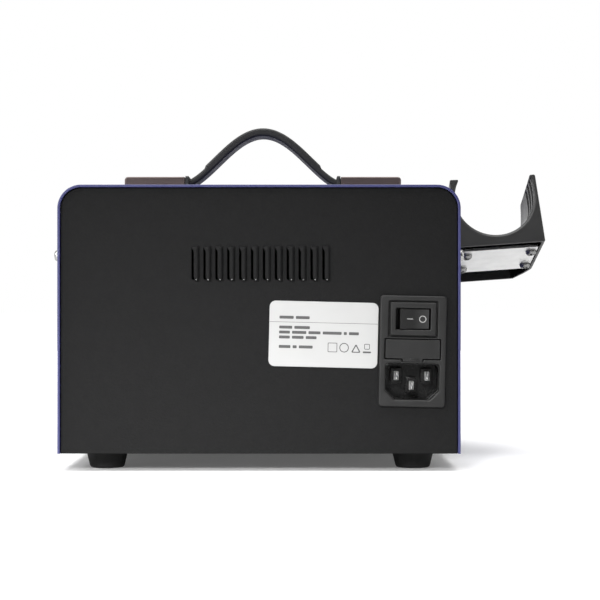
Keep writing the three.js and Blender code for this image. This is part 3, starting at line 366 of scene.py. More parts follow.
class Look:
    """A procedural material in object coordinates, measured in millimetres."""

    def __init__(self, name, colour, roughness, metallic=0.0):
        self.material = bpy.data.materials.new(name)
        self.material.use_nodes = True
        self.tree = self.material.node_tree
        self.shader = self.tree.nodes["Principled BSDF"]
        self.colour = colour
        self.roughness = roughness
        self.shader.inputs["Metallic"].default_value = metallic
        self.shader.inputs["Base Color"].default_value = (*colour, 1)
        self.shader.inputs["Roughness"].default_value = roughness
        self.coordinates = self.tree.nodes.new("ShaderNodeTexCoord").outputs["Object"]
        self.normal = None

    def set(self, **sockets):
        for name, value in sockets.items():
            self.shader.inputs[name.replace("_", " ")].default_value = value

    def texture(self, kind, size, stretch=(1, 1, 1)):
        """A texture node whose pattern is about size millimetres across, longer along a stretched axis."""
        mapping = self.tree.nodes.new("ShaderNodeMapping")
        mapping.inputs["Scale"].default_value = [1 / MM / size / s for s in stretch]
        self.tree.links.new(self.coordinates, mapping.inputs["Vector"])
        node = self.tree.nodes.new(kind)
        node.inputs["Scale"].default_value = 1.0
        self.tree.links.new(mapping.outputs["Vector"], node.inputs["Vector"])
        return node

    def noise(self, size, detail=3.0, stretch=(1, 1, 1), softness=0.5):
        noise = self.texture("ShaderNodeTexNoise", size, stretch)
        noise.inputs["Detail"].default_value = detail
        noise.inputs["Roughness"].default_value = softness
        return noise.outputs["Fac"]

    def cells(self, size, feature="F1"):
        cells = self.texture("ShaderNodeTexVoronoi", size)
        cells.feature = feature
        return cells.outputs["Distance"]

    def spread(self, factor, low, high, from_low=0.3, from_high=0.7):
        ramp = self.tree.nodes.new("ShaderNodeMapRange")
        ramp.inputs["From Min"].default_value = from_low
        ramp.inputs["From Max"].default_value = from_high
        ramp.inputs["To Min"].default_value = low
        ramp.inputs["To Max"].default_value = high
        self.tree.links.new(factor, ramp.inputs["Value"])
        return ramp.outputs["Result"]

    def tone(self, factor, dark, light):
        """Base colour between two multiples of the plain colour."""
        self.tint(factor, [c * dark for c in self.colour], [min(1, c * light) for c in self.colour])

    def tint(self, factor, first, second, from_low=0.3, from_high=0.7):
        """Base colour between two colours."""
        mix = self.tree.nodes.new("ShaderNodeMix")
        mix.data_type = "RGBA"
        mix.inputs["A"].default_value = (*first, 1)
        mix.inputs["B"].default_value = (*second, 1)
        self.tree.links.new(self.spread(factor, 0, 1, from_low, from_high), mix.inputs["Factor"])
        self.tree.links.new(mix.outputs["Result"], self.shader.inputs["Base Color"])

    def rough(self, factor, low, high):
        self.tree.links.new(self.spread(factor, low, high), self.shader.inputs["Roughness"])

    def bump(self, factor, depth):
        """Raises the surface by the factor, depth in millimetres."""
        bump = self.tree.nodes.new("ShaderNodeBump")
        bump.inputs["Distance"].default_value = depth * MM
        bump.inputs["Strength"].default_value = 1.0
        self.tree.links.new(factor, bump.inputs["Height"])
        if self.normal is not None:
            self.tree.links.new(self.normal, bump.inputs["Normal"])
        self.normal = bump.outputs["Normal"]
        self.tree.links.new(self.normal, self.shader.inputs["Normal"])


def grey(value):
    return (value, value, value)


def make_powder_coat():
    look = Look("black_powder_coat", (0.0052, 0.0052, 0.0054), 0.6)
    look.set(Specular_IOR_Level=0.18)
    look.tone(look.noise(1.1, 4, softness=0.65), 0.8, 1.25)
    look.rough(look.noise(3, 3), 0.6, 0.66)
    look.bump(look.noise(0.8, 3, softness=0.6), 0.11)
    look.bump(look.cells(1.3, "SMOOTH_F1"), 0.07)
    return look.material


def make_blue_enamel():
    look = Look("blue_enamel", (0.036, 0.039, 0.142), 0.36)
    look.set(Specular_IOR_Level=0.5, Coat_Weight=0.25, Coat_Roughness=0.22)
    look.tone(look.noise(26, 3), 0.96, 1.04)
    look.rough(look.noise(2.2, 3), 0.36, 0.4)
    look.bump(look.noise(1.7, 2), 0.035)
    look.bump(look.noise(0.4, 2), 0.012)
    return look.material


def moulded(name, colour, rough_low, rough_high, grain=0.35, depth=0.02, specular=0.45):
    look = Look(name, colour, rough_low)
    look.set(Specular_IOR_Level=specular)
    look.tone(look.noise(18, 3), 0.9, 1.1)
    look.rough(look.noise(6, 4), rough_low, rough_high)
    look.bump(look.noise(grain, 3, softness=0.6), depth)
    look.bump(look.noise(22, 2), depth * 4)
    return look.material


def brushed(name, colour, low, high, stretch, mottled=0.08):
    look = Look(name, colour, low, 1.0)
    streaks = look.noise(0.35, 4, stretch, 0.6)
    look.tone(look.noise(7, 4), 1 - mottled, 1 + mottled)
    look.rough(streaks, low, high)
    look.bump(streaks, 0.012)
    look.bump(look.noise(12, 2), 0.05)
    return look.material


def plain_metal(name, colour, low, high, depth=0.008):
    look = Look(name, colour, low, 1.0)
    look.tone(look.noise(2.5, 3), 0.9, 1.08)
    look.rough(look.noise(1.2, 3), low, high)
    look.bump(look.noise(0.5, 2), depth)
    return look.material


POWDER = make_powder_coat()
ENAMEL = make_blue_enamel()
GLOSS = moulded("gloss_black_plastic", grey(0.0145), 0.3, 0.4, 0.5, 0.008, 0.36)
# Painted shade: a darker copy of the gloss black, for the lining of the mains socket's recess and the insert
# deep in the iron socket
SHADED_WELL = moulded("socket_well_painted_shade_plastic", grey(0.004), 0.22, 0.32, 0.5, 0.008, 0.3)
ROCKER = moulded("rocker_plastic", grey(0.013), 0.32, 0.42, 0.4, 0.01, 0.38)
PLASTIC = moulded("black_plastic", grey(0.03), 0.42, 0.55, 0.4, 0.03)
RUBBER = moulded("black_rubber", grey(0.012), 0.62, 0.78, 0.3, 0.03, 0.3)
STRAP = moulded("strap_rubber", grey(0.022), 0.46, 0.6, 0.45, 0.03, 0.4)
SMOKED = moulded("smoked_window", (0.012, 0.006, 0.007), 0.06, 0.1, 2.0, 0.002, 0.5)
TUBE = moulded("clear_tube", (0.62, 0.62, 0.56), 0.3, 0.42, 0.8, 0.02)
CRADLE = moulded("cradle_plastic", grey(0.02), 0.36, 0.46, 0.5, 0.04)
# Painted shade: a darker copy of the cradle plastic, for the hollow under the cradle
POCKET_SHADE = moulded("cradle_pocket_painted_shade", grey(0.004), 0.5, 0.65, 0.5, 0.04, 0.15)
BRUSHED = brushed("brushed_aluminium", (0.86, 0.86, 0.85), 0.3, 0.46, (40, 1, 1), 0.05)
CAST = plain_metal("cast_aluminium", grey(0.6), 0.4, 0.55, 0.04)
SINK = brushed("extruded_aluminium", grey(0.7), 0.32, 0.42, (1, 1, 30))
STEEL = plain_metal("bright_steel", (0.72, 0.72, 0.7), 0.2, 0.3)
SCREW = plain_metal("screw_steel", (0.46, 0.46, 0.45), 0.22, 0.34)
# Painted shade: a darker copy of the screw steel, for the screws that face down under the cradle
SHADED_SCREW = plain_metal("screw_steel_painted_shade", (0.3, 0.3, 0.295), 0.24, 0.34)
BLADE = plain_metal("nickel_blade", grey(0.88), 0.46, 0.56, 0.004)
# Painted highlight: bright metal for the small beads that put a glint at each louvre's foot
GLINT_METAL = plain_metal("painted_glint_metal", grey(0.3), 0.3, 0.42)
# Painted shade: near-black metal for the cross recess in each screw head
RECESS_SHADE = plain_metal("screw_recess_painted_shade", grey(0.03), 0.5, 0.65)
BRASS = plain_metal("brass", (0.72, 0.5, 0.2), 0.24, 0.36)


def make_bronze():
    look = Look("bronze_plate", (0.115, 0.088, 0.082), 0.42, 0.55)
    look.tone(look.noise(11, 4), 0.92, 1.08)
    streaks = look.noise(0.4, 3, (1, 34, 1), 0.55)
    look.rough(streaks, 0.36, 0.5)
    look.bump(streaks, 0.012)
    return look.material


def make_label():
    look = Look("white_label", (0.51, 0.51, 0.506), 0.42)
    look.tone(look.noise(16, 2), 0.985, 1.015)
    look.rough(look.noise(3, 3), 0.38, 0.48)
    look.bump(look.noise(1.2, 2), 0.006)
    return look.material


def make_ink(name, colour):
    look = Look(name, colour, 0.5)
    look.tone(look.noise(0.5, 3), 0.88, 1.12)
    look.rough(look.noise(1, 2), 0.45, 0.6)
    look.bump(look.noise(0.3, 2), 0.003)
    return look.material


def make_glass():
    look = Look("glass_tube", (0.9, 0.95, 0.95), 0.05)
    look.set(Transmission_Weight=1.0, IOR=1.5)
    look.rough(look.noise(3, 2), 0.03, 0.07)
    look.bump(look.noise(2, 2), 0.005)
    return look.material


def make_laminations():
    look = Look("silicon_steel", (0.1, 0.1, 0.108), 0.45, 0.8)
    wave = look.tree.nodes.new("ShaderNodeTexWave")
    wave.wave_type = "BANDS"
    wave.bands_direction = "Y"
    wave.inputs["Scale"].default_value = 1 / MM / 3
    wave.inputs["Distortion"].default_value = 0.4
    look.tree.links.new(look.coordinates, wave.inputs["Vector"])
    look.tone(look.noise(9, 3), 0.8, 1.2)
    look.rough(look.noise(5, 3), 0.4, 0.55)
    look.bump(wave.outputs["Fac"], 0.06)
    return look.material


def make_board():
    look = Look("green_board", (0.012, 0.085, 0.035), 0.38)
    look.tint(look.cells(5), (0.009, 0.06, 0.026), (0.018, 0.11, 0.045), 0.35, 0.42)
    look.rough(look.noise(4, 3), 0.32, 0.46)
    look.bump(look.noise(1.6, 2), 0.03)
    return look.material


def make_tape():
    look = Look("yellow_tape", (0.58, 0.38, 0.05), 0.34)
    look.tone(look.noise(6, 3), 0.88, 1.1)
    look.rough(look.noise(3, 3), 0.28, 0.42)
    look.bump(look.noise(2.2, 2, (1, 1, 8)), 0.05)
    return look.material


BRONZE = make_bronze()
LABEL = make_label()
INK = make_ink("label_ink", grey(0.08))
MARKS = make_ink("switch_marks", (0.42, 0.42, 0.415))
SCALE = make_ink("scale_print", (0.7, 0.7, 0.69))
SEGMENTS = make_ink("display_segments", (0.05, 0.012, 0.012))
GLASS = make_glass()
LAMINATED = make_laminations()
BOARD = make_board()
TAPE = make_tape()

# Case


def arch(half, bottom, top, radius, steps=18):
    corners = [(-half, bottom, 0), (half, bottom, 0), (half, top, radius), (-half, top, radius)]
    return soften(corners, 0, steps)


def make_cover():
    outer = arch(HALF_WIDTH, CASE_BOTTOM, CASE_TOP, CORNER_RADIUS)
    inner = arch(INSIDE_HALF, CASE_BOTTOM, CASE_TOP - SHEET, CORNER_RADIUS - SHEET)
    # The two arches share a start at the bottom left, so the folded sheet is one open loop.
    outline = outer[1:] + [outer[0]] + [inner[0]] + inner[:0:-1]
    shape = Shape().add(plate(outline, [], -HALF_DEPTH, HALF_DEPTH, 0.3), UPRIGHT)
    piece("cover_sheet", shape, ENAMEL, replaces=("top_cover",))


LOUVRE_COUNT = 12
LOUVRE_PITCH = 5.52
LOUVRE_WIDTH = 2.9
LOUVRE_HEIGHT = 16.6
LOUVRE_RISE = 1.38
LOUVRE_Z = 96.2
louvre_places = [(i - (LOUVRE_COUNT - 1) / 2) * LOUVRE_PITCH - 1 for i in range(LOUVRE_COUNT)]

INLET_X = -71.2
INLET_Z = 55.5
INLET_TILT = math.radians(-1.2)
INLET_BODY_WIDTH = 27.4
INLET_BODY_HEIGHT = 47.4
INLET_FLANGE = 2.2
inlet_place = shift(INLET_X, REAR_FACE + 0.1, INLET_Z) @ turn(INLET_TILT, "Y") @ UPRIGHT


# How far a hood reaches over its slot: over most of its height, more at its top, less at its foot
HOOD_REACH = 0.76
HOOD_TOP_REACH = 0.24
HOOD_FOOT_REACH = -0.2
HOOD_END = 2.0
HOOD_THICKNESS = 0.5


def ease(t):
    """A smooth step from 0 to 1 as t goes from 0 to 1."""
    t = min(1.0, max(0.0, t))
    return t * t * (3 - 2 * t)


def louvre_hood():
    """One pressed hood over a slot: it rises at its -X side, stays open at +X and ends in a curled lip."""
    across = 10
    along = 36
    half = LOUVRE_HEIGHT / 2
    outer = []
    inner = []
    for i in range(along + 1):
        z = -half + LOUVRE_HEIGHT * i / along
        near_end = max(0.0, (abs(z) - (half - HOOD_END)) / HOOD_END)
        height = LOUVRE_RISE * math.sqrt(max(0.0, 1 - near_end**2))
        top = ease((z - half + 1.5 * HOOD_END) / HOOD_END)
        foot = min(1.0, max(0.0, (-z - half + 1.6 * HOOD_END) / (1.6 * HOOD_END)))
        reach = HOOD_REACH + HOOD_TOP_REACH * top + HOOD_FOOT_REACH * foot * foot
        for j in range(across + 1):
            t = j / across
            x = -LOUVRE_WIDTH / 2 - 0.3 + (LOUVRE_WIDTH + 0.5) * t * reach
            rise = math.sin(math.pi / 2 * min(1.0, t * 2.2)) - 0.22 * max(0.0, t - 0.5)
            y = height * rise + 0.02
            outer.append(Vector((x, y, z)))
            inner.append(Vector((x + 0.08, y - HOOD_THICKNESS, z)))
    points = outer + inner
    faces = []
    width = across + 1
    base = len(outer)
    for i in range(along):
        for j in range(across):
            a = i * width + j
            faces.append((a, a + width, a + width + 1, a + 1))
            faces.append((base + a, base + a + 1, base + a + width + 1, base + a + width))
    for i in range(along):
        for j in (0, across):
            a = i * width + j
            quad = (a, base + a, base + a + width, a + width)
            faces.append(quad if j == 0 else quad[::-1])
    for j in range(across):
        for i in (0, along):
            a = i * width + j
            quad = (a, a + 1, base + a + 1, base + a)
            faces.append(quad if i == 0 else quad[::-1])
    return points, faces


FLANGE_DEPTH = 14
FLANGE_LIFT = 8
FLANGE_HEIGHT = 104


def panel_sheet(holes, place):
    """The sheet of the front or rear panel, with its face on the place's z = 0."""
    outline = arch(PANEL_HALF, CASE_BOTTOM, CASE_TOP - SHEET - GAP, CORNER_RADIUS - SHEET - GAP)
    return Shape().add(plate(outline, holes, -SHEET, 0, 0.3, 4, 0.1), place)


def add_flanges(shape, face):
    """The two side flanges that run from a panel's face into the case."""
    inward = -1 if face > 0 else 1
    y0, y1 = sorted((face + inward * (SHEET + 0.05), face + inward * FLANGE_DEPTH))
    low = CASE_BOTTOM + FLANGE_LIFT
    for side in (-1, 1):
        x0, x1 = sorted((side * PANEL_HALF, side * (PANEL_HALF - SHEET)))
        shape.add(slab(x0, x1, y0, y1, low, low + FLANGE_HEIGHT, 0.2, 0.2))


def make_rear_panel():
    slots = [
        rounded_rectangle(x + 0.5, LOUVRE_Z, LOUVRE_WIDTH - 0.2, LOUVRE_HEIGHT - 1.6, 0.7, 3)
        for x in louvre_places
    ]
    half_w = INLET_BODY_WIDTH / 2 + GAP
    half_h = INLET_BODY_HEIGHT / 2 + GAP
    tilt = Matrix.Rotation(-INLET_TILT, 2)
    corners = rectangle(-half_w, half_w, -half_h, half_h)
    hole = [tilt @ Vector(p) + Vector((INLET_X, INLET_Z)) for p in corners]
    shape = panel_sheet(slots + [hole], shift(0, REAR_FACE, 0) @ UPRIGHT)
    hood = louvre_hood()
    # A small bright bead at each louvre's foot is a painted highlight, the glint on its curled lip.
    glint_beads = Shape()
    bead = soft_lathe([(0, -0.5), (0.55, 0, 0.5), (0, 0.5)], 0.3, 16)
    for x in louvre_places:
        shape.add(hood, shift(x, REAR_FACE, LOUVRE_Z))
        tip = shift(x - 0.25, REAR_FACE + 1.0, LOUVRE_Z - LOUVRE_HEIGHT / 2 + 0.85)
        glint_beads.add(bead, tip @ turn(0.5, "Y"))
    piece("louvre_glint_beads", glint_beads, GLINT_METAL)
    add_flanges(shape, REAR_FACE)
    piece("rear_panel_sheet", shape, POWDER, replaces=("rear_panel",))


make_cover()
make_rear_panel()

LABEL_WIDTH = 50.5
LABEL_HEIGHT = 30.4
LABEL_X = -29.9
LABEL_Z = 63.3
LABEL_TILT = math.radians(-1.4)
LABEL_THICKNESS = 0.25
label_place = shift(LABEL_X, REAR_FACE + 0.1, LABEL_Z) @ turn(LABEL_TILT, "Y") @ UPRIGHT
# The label is read from behind the case, so its own +x runs towards -X.
print_place = label_place @ Matrix.Diagonal((-1, 1, 1, 1))

# Stand-ins for print: each line is (start, height above the label's middle, bar height, bar lengths).
LABEL_LINES = [
    (-20.6, 7.6, 1.35, (6.6, 6.4)),
    (-20.6, 3.0, 1.35, (6.0, 7.2)),
    (-20.6, 0.7, 1.35, (5.0, 6.6, 5.6, 8.8, 1.4, 4.6)),
    (-20.6, -1.6, 1.35, (5.0, 5.4, 5.0)),
    (-20.6, -6.0, 1.35, (5.4, 1.9, 6.4)),
]
WORD_GAP = 1.0
RULE_HEIGHT = 5.4


def make_label_pieces():
    outline = rounded_rectangle(0, 0, LABEL_WIDTH, LABEL_HEIGHT, 2.8, 8)
    sheet = Shape().add(plate(outline, [], 0, LABEL_THICKNESS, 0.08, 2), label_place)
    piece("label_sheet", sheet, LABEL, replaces=("rating_label",))

    ink = Shape()
    low = LABEL_THICKNESS - 0.05
    high = LABEL_THICKNESS + 0.02

    def bar(x0, x1, y0, y1, corner=0.3):
        ink.add(plate(soften(rectangle(x0, x1, y0, y1), corner, 3), [], low, high, 0), print_place)

    for start, height, tall, words in LABEL_LINES:
        x = start
        for length in words:
            bar(x, x + length, height - tall / 2, height + tall / 2)
            x += length + WORD_GAP
    half = LABEL_WIDTH / 2
    bar(0.15 - half, half - 0.15, RULE_HEIGHT - 0.09, RULE_HEIGHT + 0.09, 0.05)

    # Neutral shapes: a square, a ring, a triangle, and a small square over a bar
    def frame_of(x, y, width, height, radius, wall):
        outer = rounded_rectangle(x, y, width, height, radius, 6)
        inner = rounded_rectangle(x, y, width - 2 * wall, height - 2 * wall, max(0.1, radius - wall), 6)
        ink.add(plate(outer, [inner], low, high, 0), print_place)

    frame_of(4.3, -5.9, 4.4, 4.4, 0.4, 0.3)
    frame_of(9.7, -5.9, 4.4, 4.4, 2.2, 0.4)
    triangle = soften([(12.9, -8.1), (17.5, -8.1), (15.2, -3.9)], 0.4, 3)
    hollow = soften([(13.75, -7.65), (16.65, -7.65), (15.2, -4.95)], 0.2, 3)
    ink.add(plate(triangle, [hollow], low, high, 0), print_place)
    bar(18.4, 22.2, -8.2, -7.4, 0.25)
    frame_of(20.3, -5.2, 2.6, 2.6, 0.5, 0.3)
    piece("label_print", ink, INK)


# Mains inlet module, drawn in its own upright frame with z out of the flange's back
ROCKER_THROW = math.radians(10)
ROCKER_Z = 15
FUSE_Z = 1
SOCKET_Z = -14
SOCKET_WIDTH = 24.9
SOCKET_HEIGHT = 16.8
SOCKET_CHAMFER = 4.3
SOCKET_FLOOR = INLET_FLANGE - 16
ROCKER_OPENING = (16, 10)
ROCKER_PIVOT = INLET_FLANGE - 4.26
ROCKER_HALF = 6.9
FACE_HALF = 6.6
FACE_DEPTH = 4.7
PIN_SPACING = 7.15
PIN_LENGTH = 13
PIN_TAIL = -36
PINS = {"live": (-PIN_SPACING, 2.4), "neutral": (PIN_SPACING, 2.4), "earth": (0, -2)}
BODY_DEPTH = 29.5
FLANGE_OUTER = (30.8, 51.6)
SWITCH_CUT = (22.5, 16.7)
SWITCH_FRAME = (21.1, 15.3)
DRAWER_HALF = 11.5
DRAWER_WALL = 1.2
DRAWER_RISE = 3.6


def fuse_outline(grow, radius):
    """The drawer's face with the pull tab below it."""
    x = 25.2 / 2 + grow
    tab = 9.2 / 2 + grow
    top = FUSE_Z + 4.4 + grow
    bottom = FUSE_Z - 4.4 - grow
    foot = FUSE_Z - 5.8
    corners = [(-tab, foot), (tab, foot), (tab, bottom), (x, bottom)]
    corners += [(x, top), (-x, top), (-x, bottom), (-tab, bottom)]
    return soften(corners, radius, 3)


def socket_outline(grow=0.0):
    """The recess for the mains plug: two of its corners are cut off."""
    x = SOCKET_WIDTH / 2 + grow
    z0 = SOCKET_Z - SOCKET_HEIGHT / 2 - grow
    z1 = SOCKET_Z + SOCKET_HEIGHT / 2 + grow
    c = SOCKET_CHAMFER
    corners = [
        (c - x, z0, 0.8),
        (x - c, z0, 0.8),
        (x, z0 + c, 0.8),
        (x, z1, 1.8),
        (-x, z1, 1.8),
        (-x, z0 + c, 0.8),
    ]
    return soften(corners, 1, 5)


rocker_opening = rounded_rectangle(0, ROCKER_Z, *ROCKER_OPENING, 0.5, 3)


def make_inlet_housing():
    housing = Shape()
    outline = rounded_rectangle(0, 0, *FLANGE_OUTER, 1.6, 6)
    switch_cut = rounded_rectangle(0, ROCKER_Z, *SWITCH_CUT, 0.7, 4)
    holes = [switch_cut, fuse_outline(GAP, 0.3), socket_outline()]
    housing.add(plate(outline, holes, 0, INLET_FLANGE, 0.7, 4, 0), inlet_place)
    body = rounded_rectangle(0, 0, INLET_BODY_WIDTH, INLET_BODY_HEIGHT, 1, 3)
    walls = [rocker_opening, fuse_outline(GAP, 0.3), socket_outline()]
    housing.add(plate(body, walls, -BODY_DEPTH, 0.02, 0.05, 1), inlet_place)
    # A wall closes the opening behind the rocker.
    half = INLET_BODY_WIDTH / 2 - 0.4
    low = ROCKER_Z - 5.5
    housing.add(slab(-half, half, low, low + 11, -12, INLET_FLANGE - 12, 0.05, 0.3), inlet_place)
    piece("inlet_moulding", housing, GLOSS, replaces=("inlet_housing",))


def make_socket_well():
    """The lining and floor of the recess, with a collar round each pin."""
    well = Shape()
    top = INLET_FLANGE - 0.9
    lining = plate(socket_outline(-0.02), [socket_outline(-0.5)], SOCKET_FLOOR, top, 0.2, 2, 0)
    well.add(lining, inlet_place)
    tall = SOCKET_HEIGHT / 2 - 0.04
    wide = SOCKET_WIDTH / 2 - 0.04
    low = SOCKET_FLOOR - 2
    floor = slab(-wide, wide, SOCKET_Z - tall, SOCKET_Z + tall, low, SOCKET_FLOOR, 0.05, 4)
    well.add(floor, inlet_place)
    for x, y in PINS.values():
        collar = rounded_rectangle(x, SOCKET_Z + y, 5.2, 7.4, 0.8, 4)
        slot = rounded_rectangle(x, SOCKET_Z + y, 2.3, 4.3, 0.2, 2)
        well.add(plate(collar, [slot], SOCKET_FLOOR - 0.1, SOCKET_FLOOR + 5, 0.25, 2, 0), inlet_place)
    # The well is drawn in the darker copy of the gloss black: painted shade in the recess.
    piece("inlet_socket_well", well, SHADED_WELL)


def make_inlet_switch_frame():
    outer = rounded_rectangle(0, ROCKER_Z, *SWITCH_FRAME, 0.5, 4)
    rim = plate(outer, [rocker_opening], 0, INLET_FLANGE + 0.35, 0.5, 4, 0)
    piece("inlet_switch_frame", Shape().add(rim, inlet_place), GLOSS)


def make_blades():
    for name, (x, y) in PINS.items():
        end = SOCKET_FLOOR + PIN_LENGTH
        section = soften(rectangle(x - 1, x + 1, SOCKET_Z + y - 2, SOCKET_Z + y + 2), 0.25, 3)
        blade = Shape().add(plate(section, [], PIN_TAIL, end - 1.6, 0.02, 1, 0.1), inlet_place)
        tip = []
        for below, amount in ((1.7, 0.01), (0.9, 0.41), (0.3, 0.59), (0.08, 0.63), (0, 0.67)):
            ring = inset(wound(section, True), amount)
            tip.append([Vector((v.x, v.y, end - below)) for v in ring])
        blade.add(loft(tip), inlet_place)
        piece(f"inlet_blade_{name}", blade, BLADE, replaces=(f"inlet_pin_{name}",))


def make_fuse_drawer():
    drawer = Shape()
    face = fuse_outline(0, 0.35)
    drawer.add(plate(face, [], INLET_FLANGE - 1.6, INLET_FLANGE + 0.2, 0.28, 3, 0), inlet_place)
    back = INLET_FLANGE - 22
    front = INLET_FLANGE - 1
    low = FUSE_Z - DRAWER_RISE
    high = FUSE_Z + DRAWER_RISE
    half = DRAWER_HALF
    for x0, x1 in ((-half, DRAWER_WALL - half), (half - DRAWER_WALL, half)):
        drawer.add(slab(x0, x1, low, high, back, front, 0.15), inlet_place)
    drawer.add(slab(-half, half, low, low + 0.5, back, front, 0.1), inlet_place)
    for z0 in (back, INLET_FLANGE - 8.6):
        drawer.add(slab(0.1 - half, half - 0.1, low + 0.1, high - 0.1, z0, z0 + 5.6, 0.15), inlet_place)
    for k in range(3):
        ridge = rounded_rectangle(0, FUSE_Z - 4.3 - 0.5 * k, 6.4, 0.22, 0.1, 2)
        drawer.add(plate(ridge, [], INLET_FLANGE, INLET_FLANGE + 0.34, 0.08, 2, 0), inlet_place)
    piece("fuse_drawer_moulding", drawer, GLOSS, "fuse_carrier", ("fuse_drawer",))

    fuse_place = inlet_place @ shift(0, FUSE_Z + 0.2, INLET_FLANGE - 12) @ turn(math.pi / 2, "Y")
    glass = soft_lathe([(0, -8.6), (2.25, -8.6), (2.25, 8.6), (0, 8.6)], 0.2, 32)
    piece("fuse_glass", Shape().add(glass, fuse_place), GLASS, "fuse_carrier", ("fuse",))
    caps = Shape()
    for side in (-1, 1):
        cap = soft_lathe([(0, -2.5), (2.6, -2.5, 0.4), (2.6, 2.5, 0.4), (0, 2.5)], 0.3, 32)
        caps.add(cap, fuse_place @ shift(0, 0, side * 7.5))
    piece("fuse_caps", caps, STEEL, "fuse_carrier")


def make_inlet():
    make_inlet_housing()
    make_socket_well()
    make_inlet_switch_frame()
    make_blades()
    make_fuse_drawer()
    make_rocker("inlet_rocker_cap", "inlet_rocker", "inlet_switch", inlet_place @ shift(0, ROCKER_Z, 0))


def rocker_face(x):
    """Height of the rocker's V-shaped face over its pivot."""
    return 3.15 + 1.28 * (abs(x) / FACE_HALF) ** 1.5


# The marks on a rocker: a dash and a ring, thin solids that follow its face
DASH = (0.75, 3.55, 0.17)
RING_X = -3.8
RING_RADII = (1.28, 1.62)
MARK_LEVELS = (-0.05, 0.03)


def rocker_marks(tilted):
    def on_face(x, y, lift):
        return tilted @ Vector((x, y, rocker_face(x) + lift))

    low, high = MARK_LEVELS
    start, end, half = DASH
    steps = 6
    sections = []
    for i in range(steps + 1):
        x = start + (end - start) * i / steps
        sections.append([on_face(x, y, lift) for y, lift in rectangle(-half, half, low, high)])
    marks = Shape().add(loft(sections))
    steps = 40
    points = []
    faces = []
    for i in range(steps):
        a = math.tau * i / steps
        for radius in RING_RADII:
            x = RING_X + radius * math.cos(a)
            points += [on_face(x, radius * math.sin(a), lift) for lift in MARK_LEVELS]
    for i in range(steps):
        a = i * 4
        b = (i + 1) % steps * 4
        for near, far in ((0, 2), (2, 3), (3, 1), (1, 0)):
            faces.append((b + near, b + far, a + far, a + near))
    return marks.add((points, faces))


def make_rocker(name, node, body, place):
    """A rocker over an opening: its length runs along the place's x and its face along +z."""
    half = ROCKER_HALF
    steps = 16
    outline = [(-2.4, -4), (2.4, -4), (half - 0.6, -1.6), (half, 3.9)]
    for i in range(steps, -1, -1):
        x = FACE_HALF * (2 * i / steps - 1)
        outline.append((x, rocker_face(x)))
    outline += [(-half, 3.9), (0.6 - half, -1.6)]
    tilted = place @ shift(0, 0, ROCKER_PIVOT) @ turn(-ROCKER_THROW, "Y")
    shape = Shape().add(plate(outline, [], -FACE_DEPTH, FACE_DEPTH, 0.35, 4), tilted @ FACING_FRONT)
    piece(name, shape, ROCKER, body, (node,), angle=28)
    piece(name + "_marks", rocker_marks(tilted), MARKS, body)


# Carrying strap
STRAP_BASE = 138
STRAP_RISE = 27.3
STRAP_HALF_SPAN = 44
STRAP_WIDTH = 27
GRIP_HALF = 28.5
GRIP_TOP = 2.1
THIN = 1.9
THIN_TOP = 1.3
CAP_INNER = 40
CAP_OUTER = 70.7
CAP_WIDTH = 31
CAP_BOTTOM = CASE_TOP + GAP
CAP_HEIGHT = 9.2
CAP_SHEET = 1.4
CLIP_THICKNESS = 1.8
CLIP_RISE = 0.5


def strap_height(x):
    reach = min(1, abs(x) / STRAP_HALF_SPAN)
    return STRAP_BASE + STRAP_RISE * (1 - reach * reach) ** 2.2


def strap_top(x):
    """Thickness above the middle line: thin ends, then a step up to the grip."""
    return THIN_TOP + (GRIP_TOP - THIN_TOP) * ease((GRIP_HALF + 0.8 - abs(x)) / 1.6)


def strap_ring(x):
    step = 0.25
    slope = (strap_height(x + step) - strap_height(x - step)) / (2 * step)
    length = math.hypot(1, slope)
    normal = Vector((-slope / length, 0, 1 / length))
    middle = Vector((x, 0, strap_height(x)))
    half = STRAP_WIDTH / 2
    section = soften(rectangle(-half, half, -THIN, strap_top(x)), 1.2, 5)
    return [middle + Vector((0, across, 0)) + normal * up for across, up in section]


def make_strap():
    # Cross-sections from the cap to the crown, closest together at the step of the grip
    spots = [57.5, 52, 47] + [44.5 - 1.5 * i for i in range(10)] + [30]
    spots += [29.4 - 0.3 * i for i in range(7)] + [27 - i for i in range(28)]
    for side, sx in (("left", -1), ("right", 1)):
        places = [sx * x for x in spots]
        if sx > 0:
            places = places[::-1]
        rings = [strap_ring(x) for x in places]
        obj = piece(f"handle_strap_{side}", Shape().add(loft(rings)), STRAP, None)
        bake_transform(obj)
        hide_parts("handle_strap")


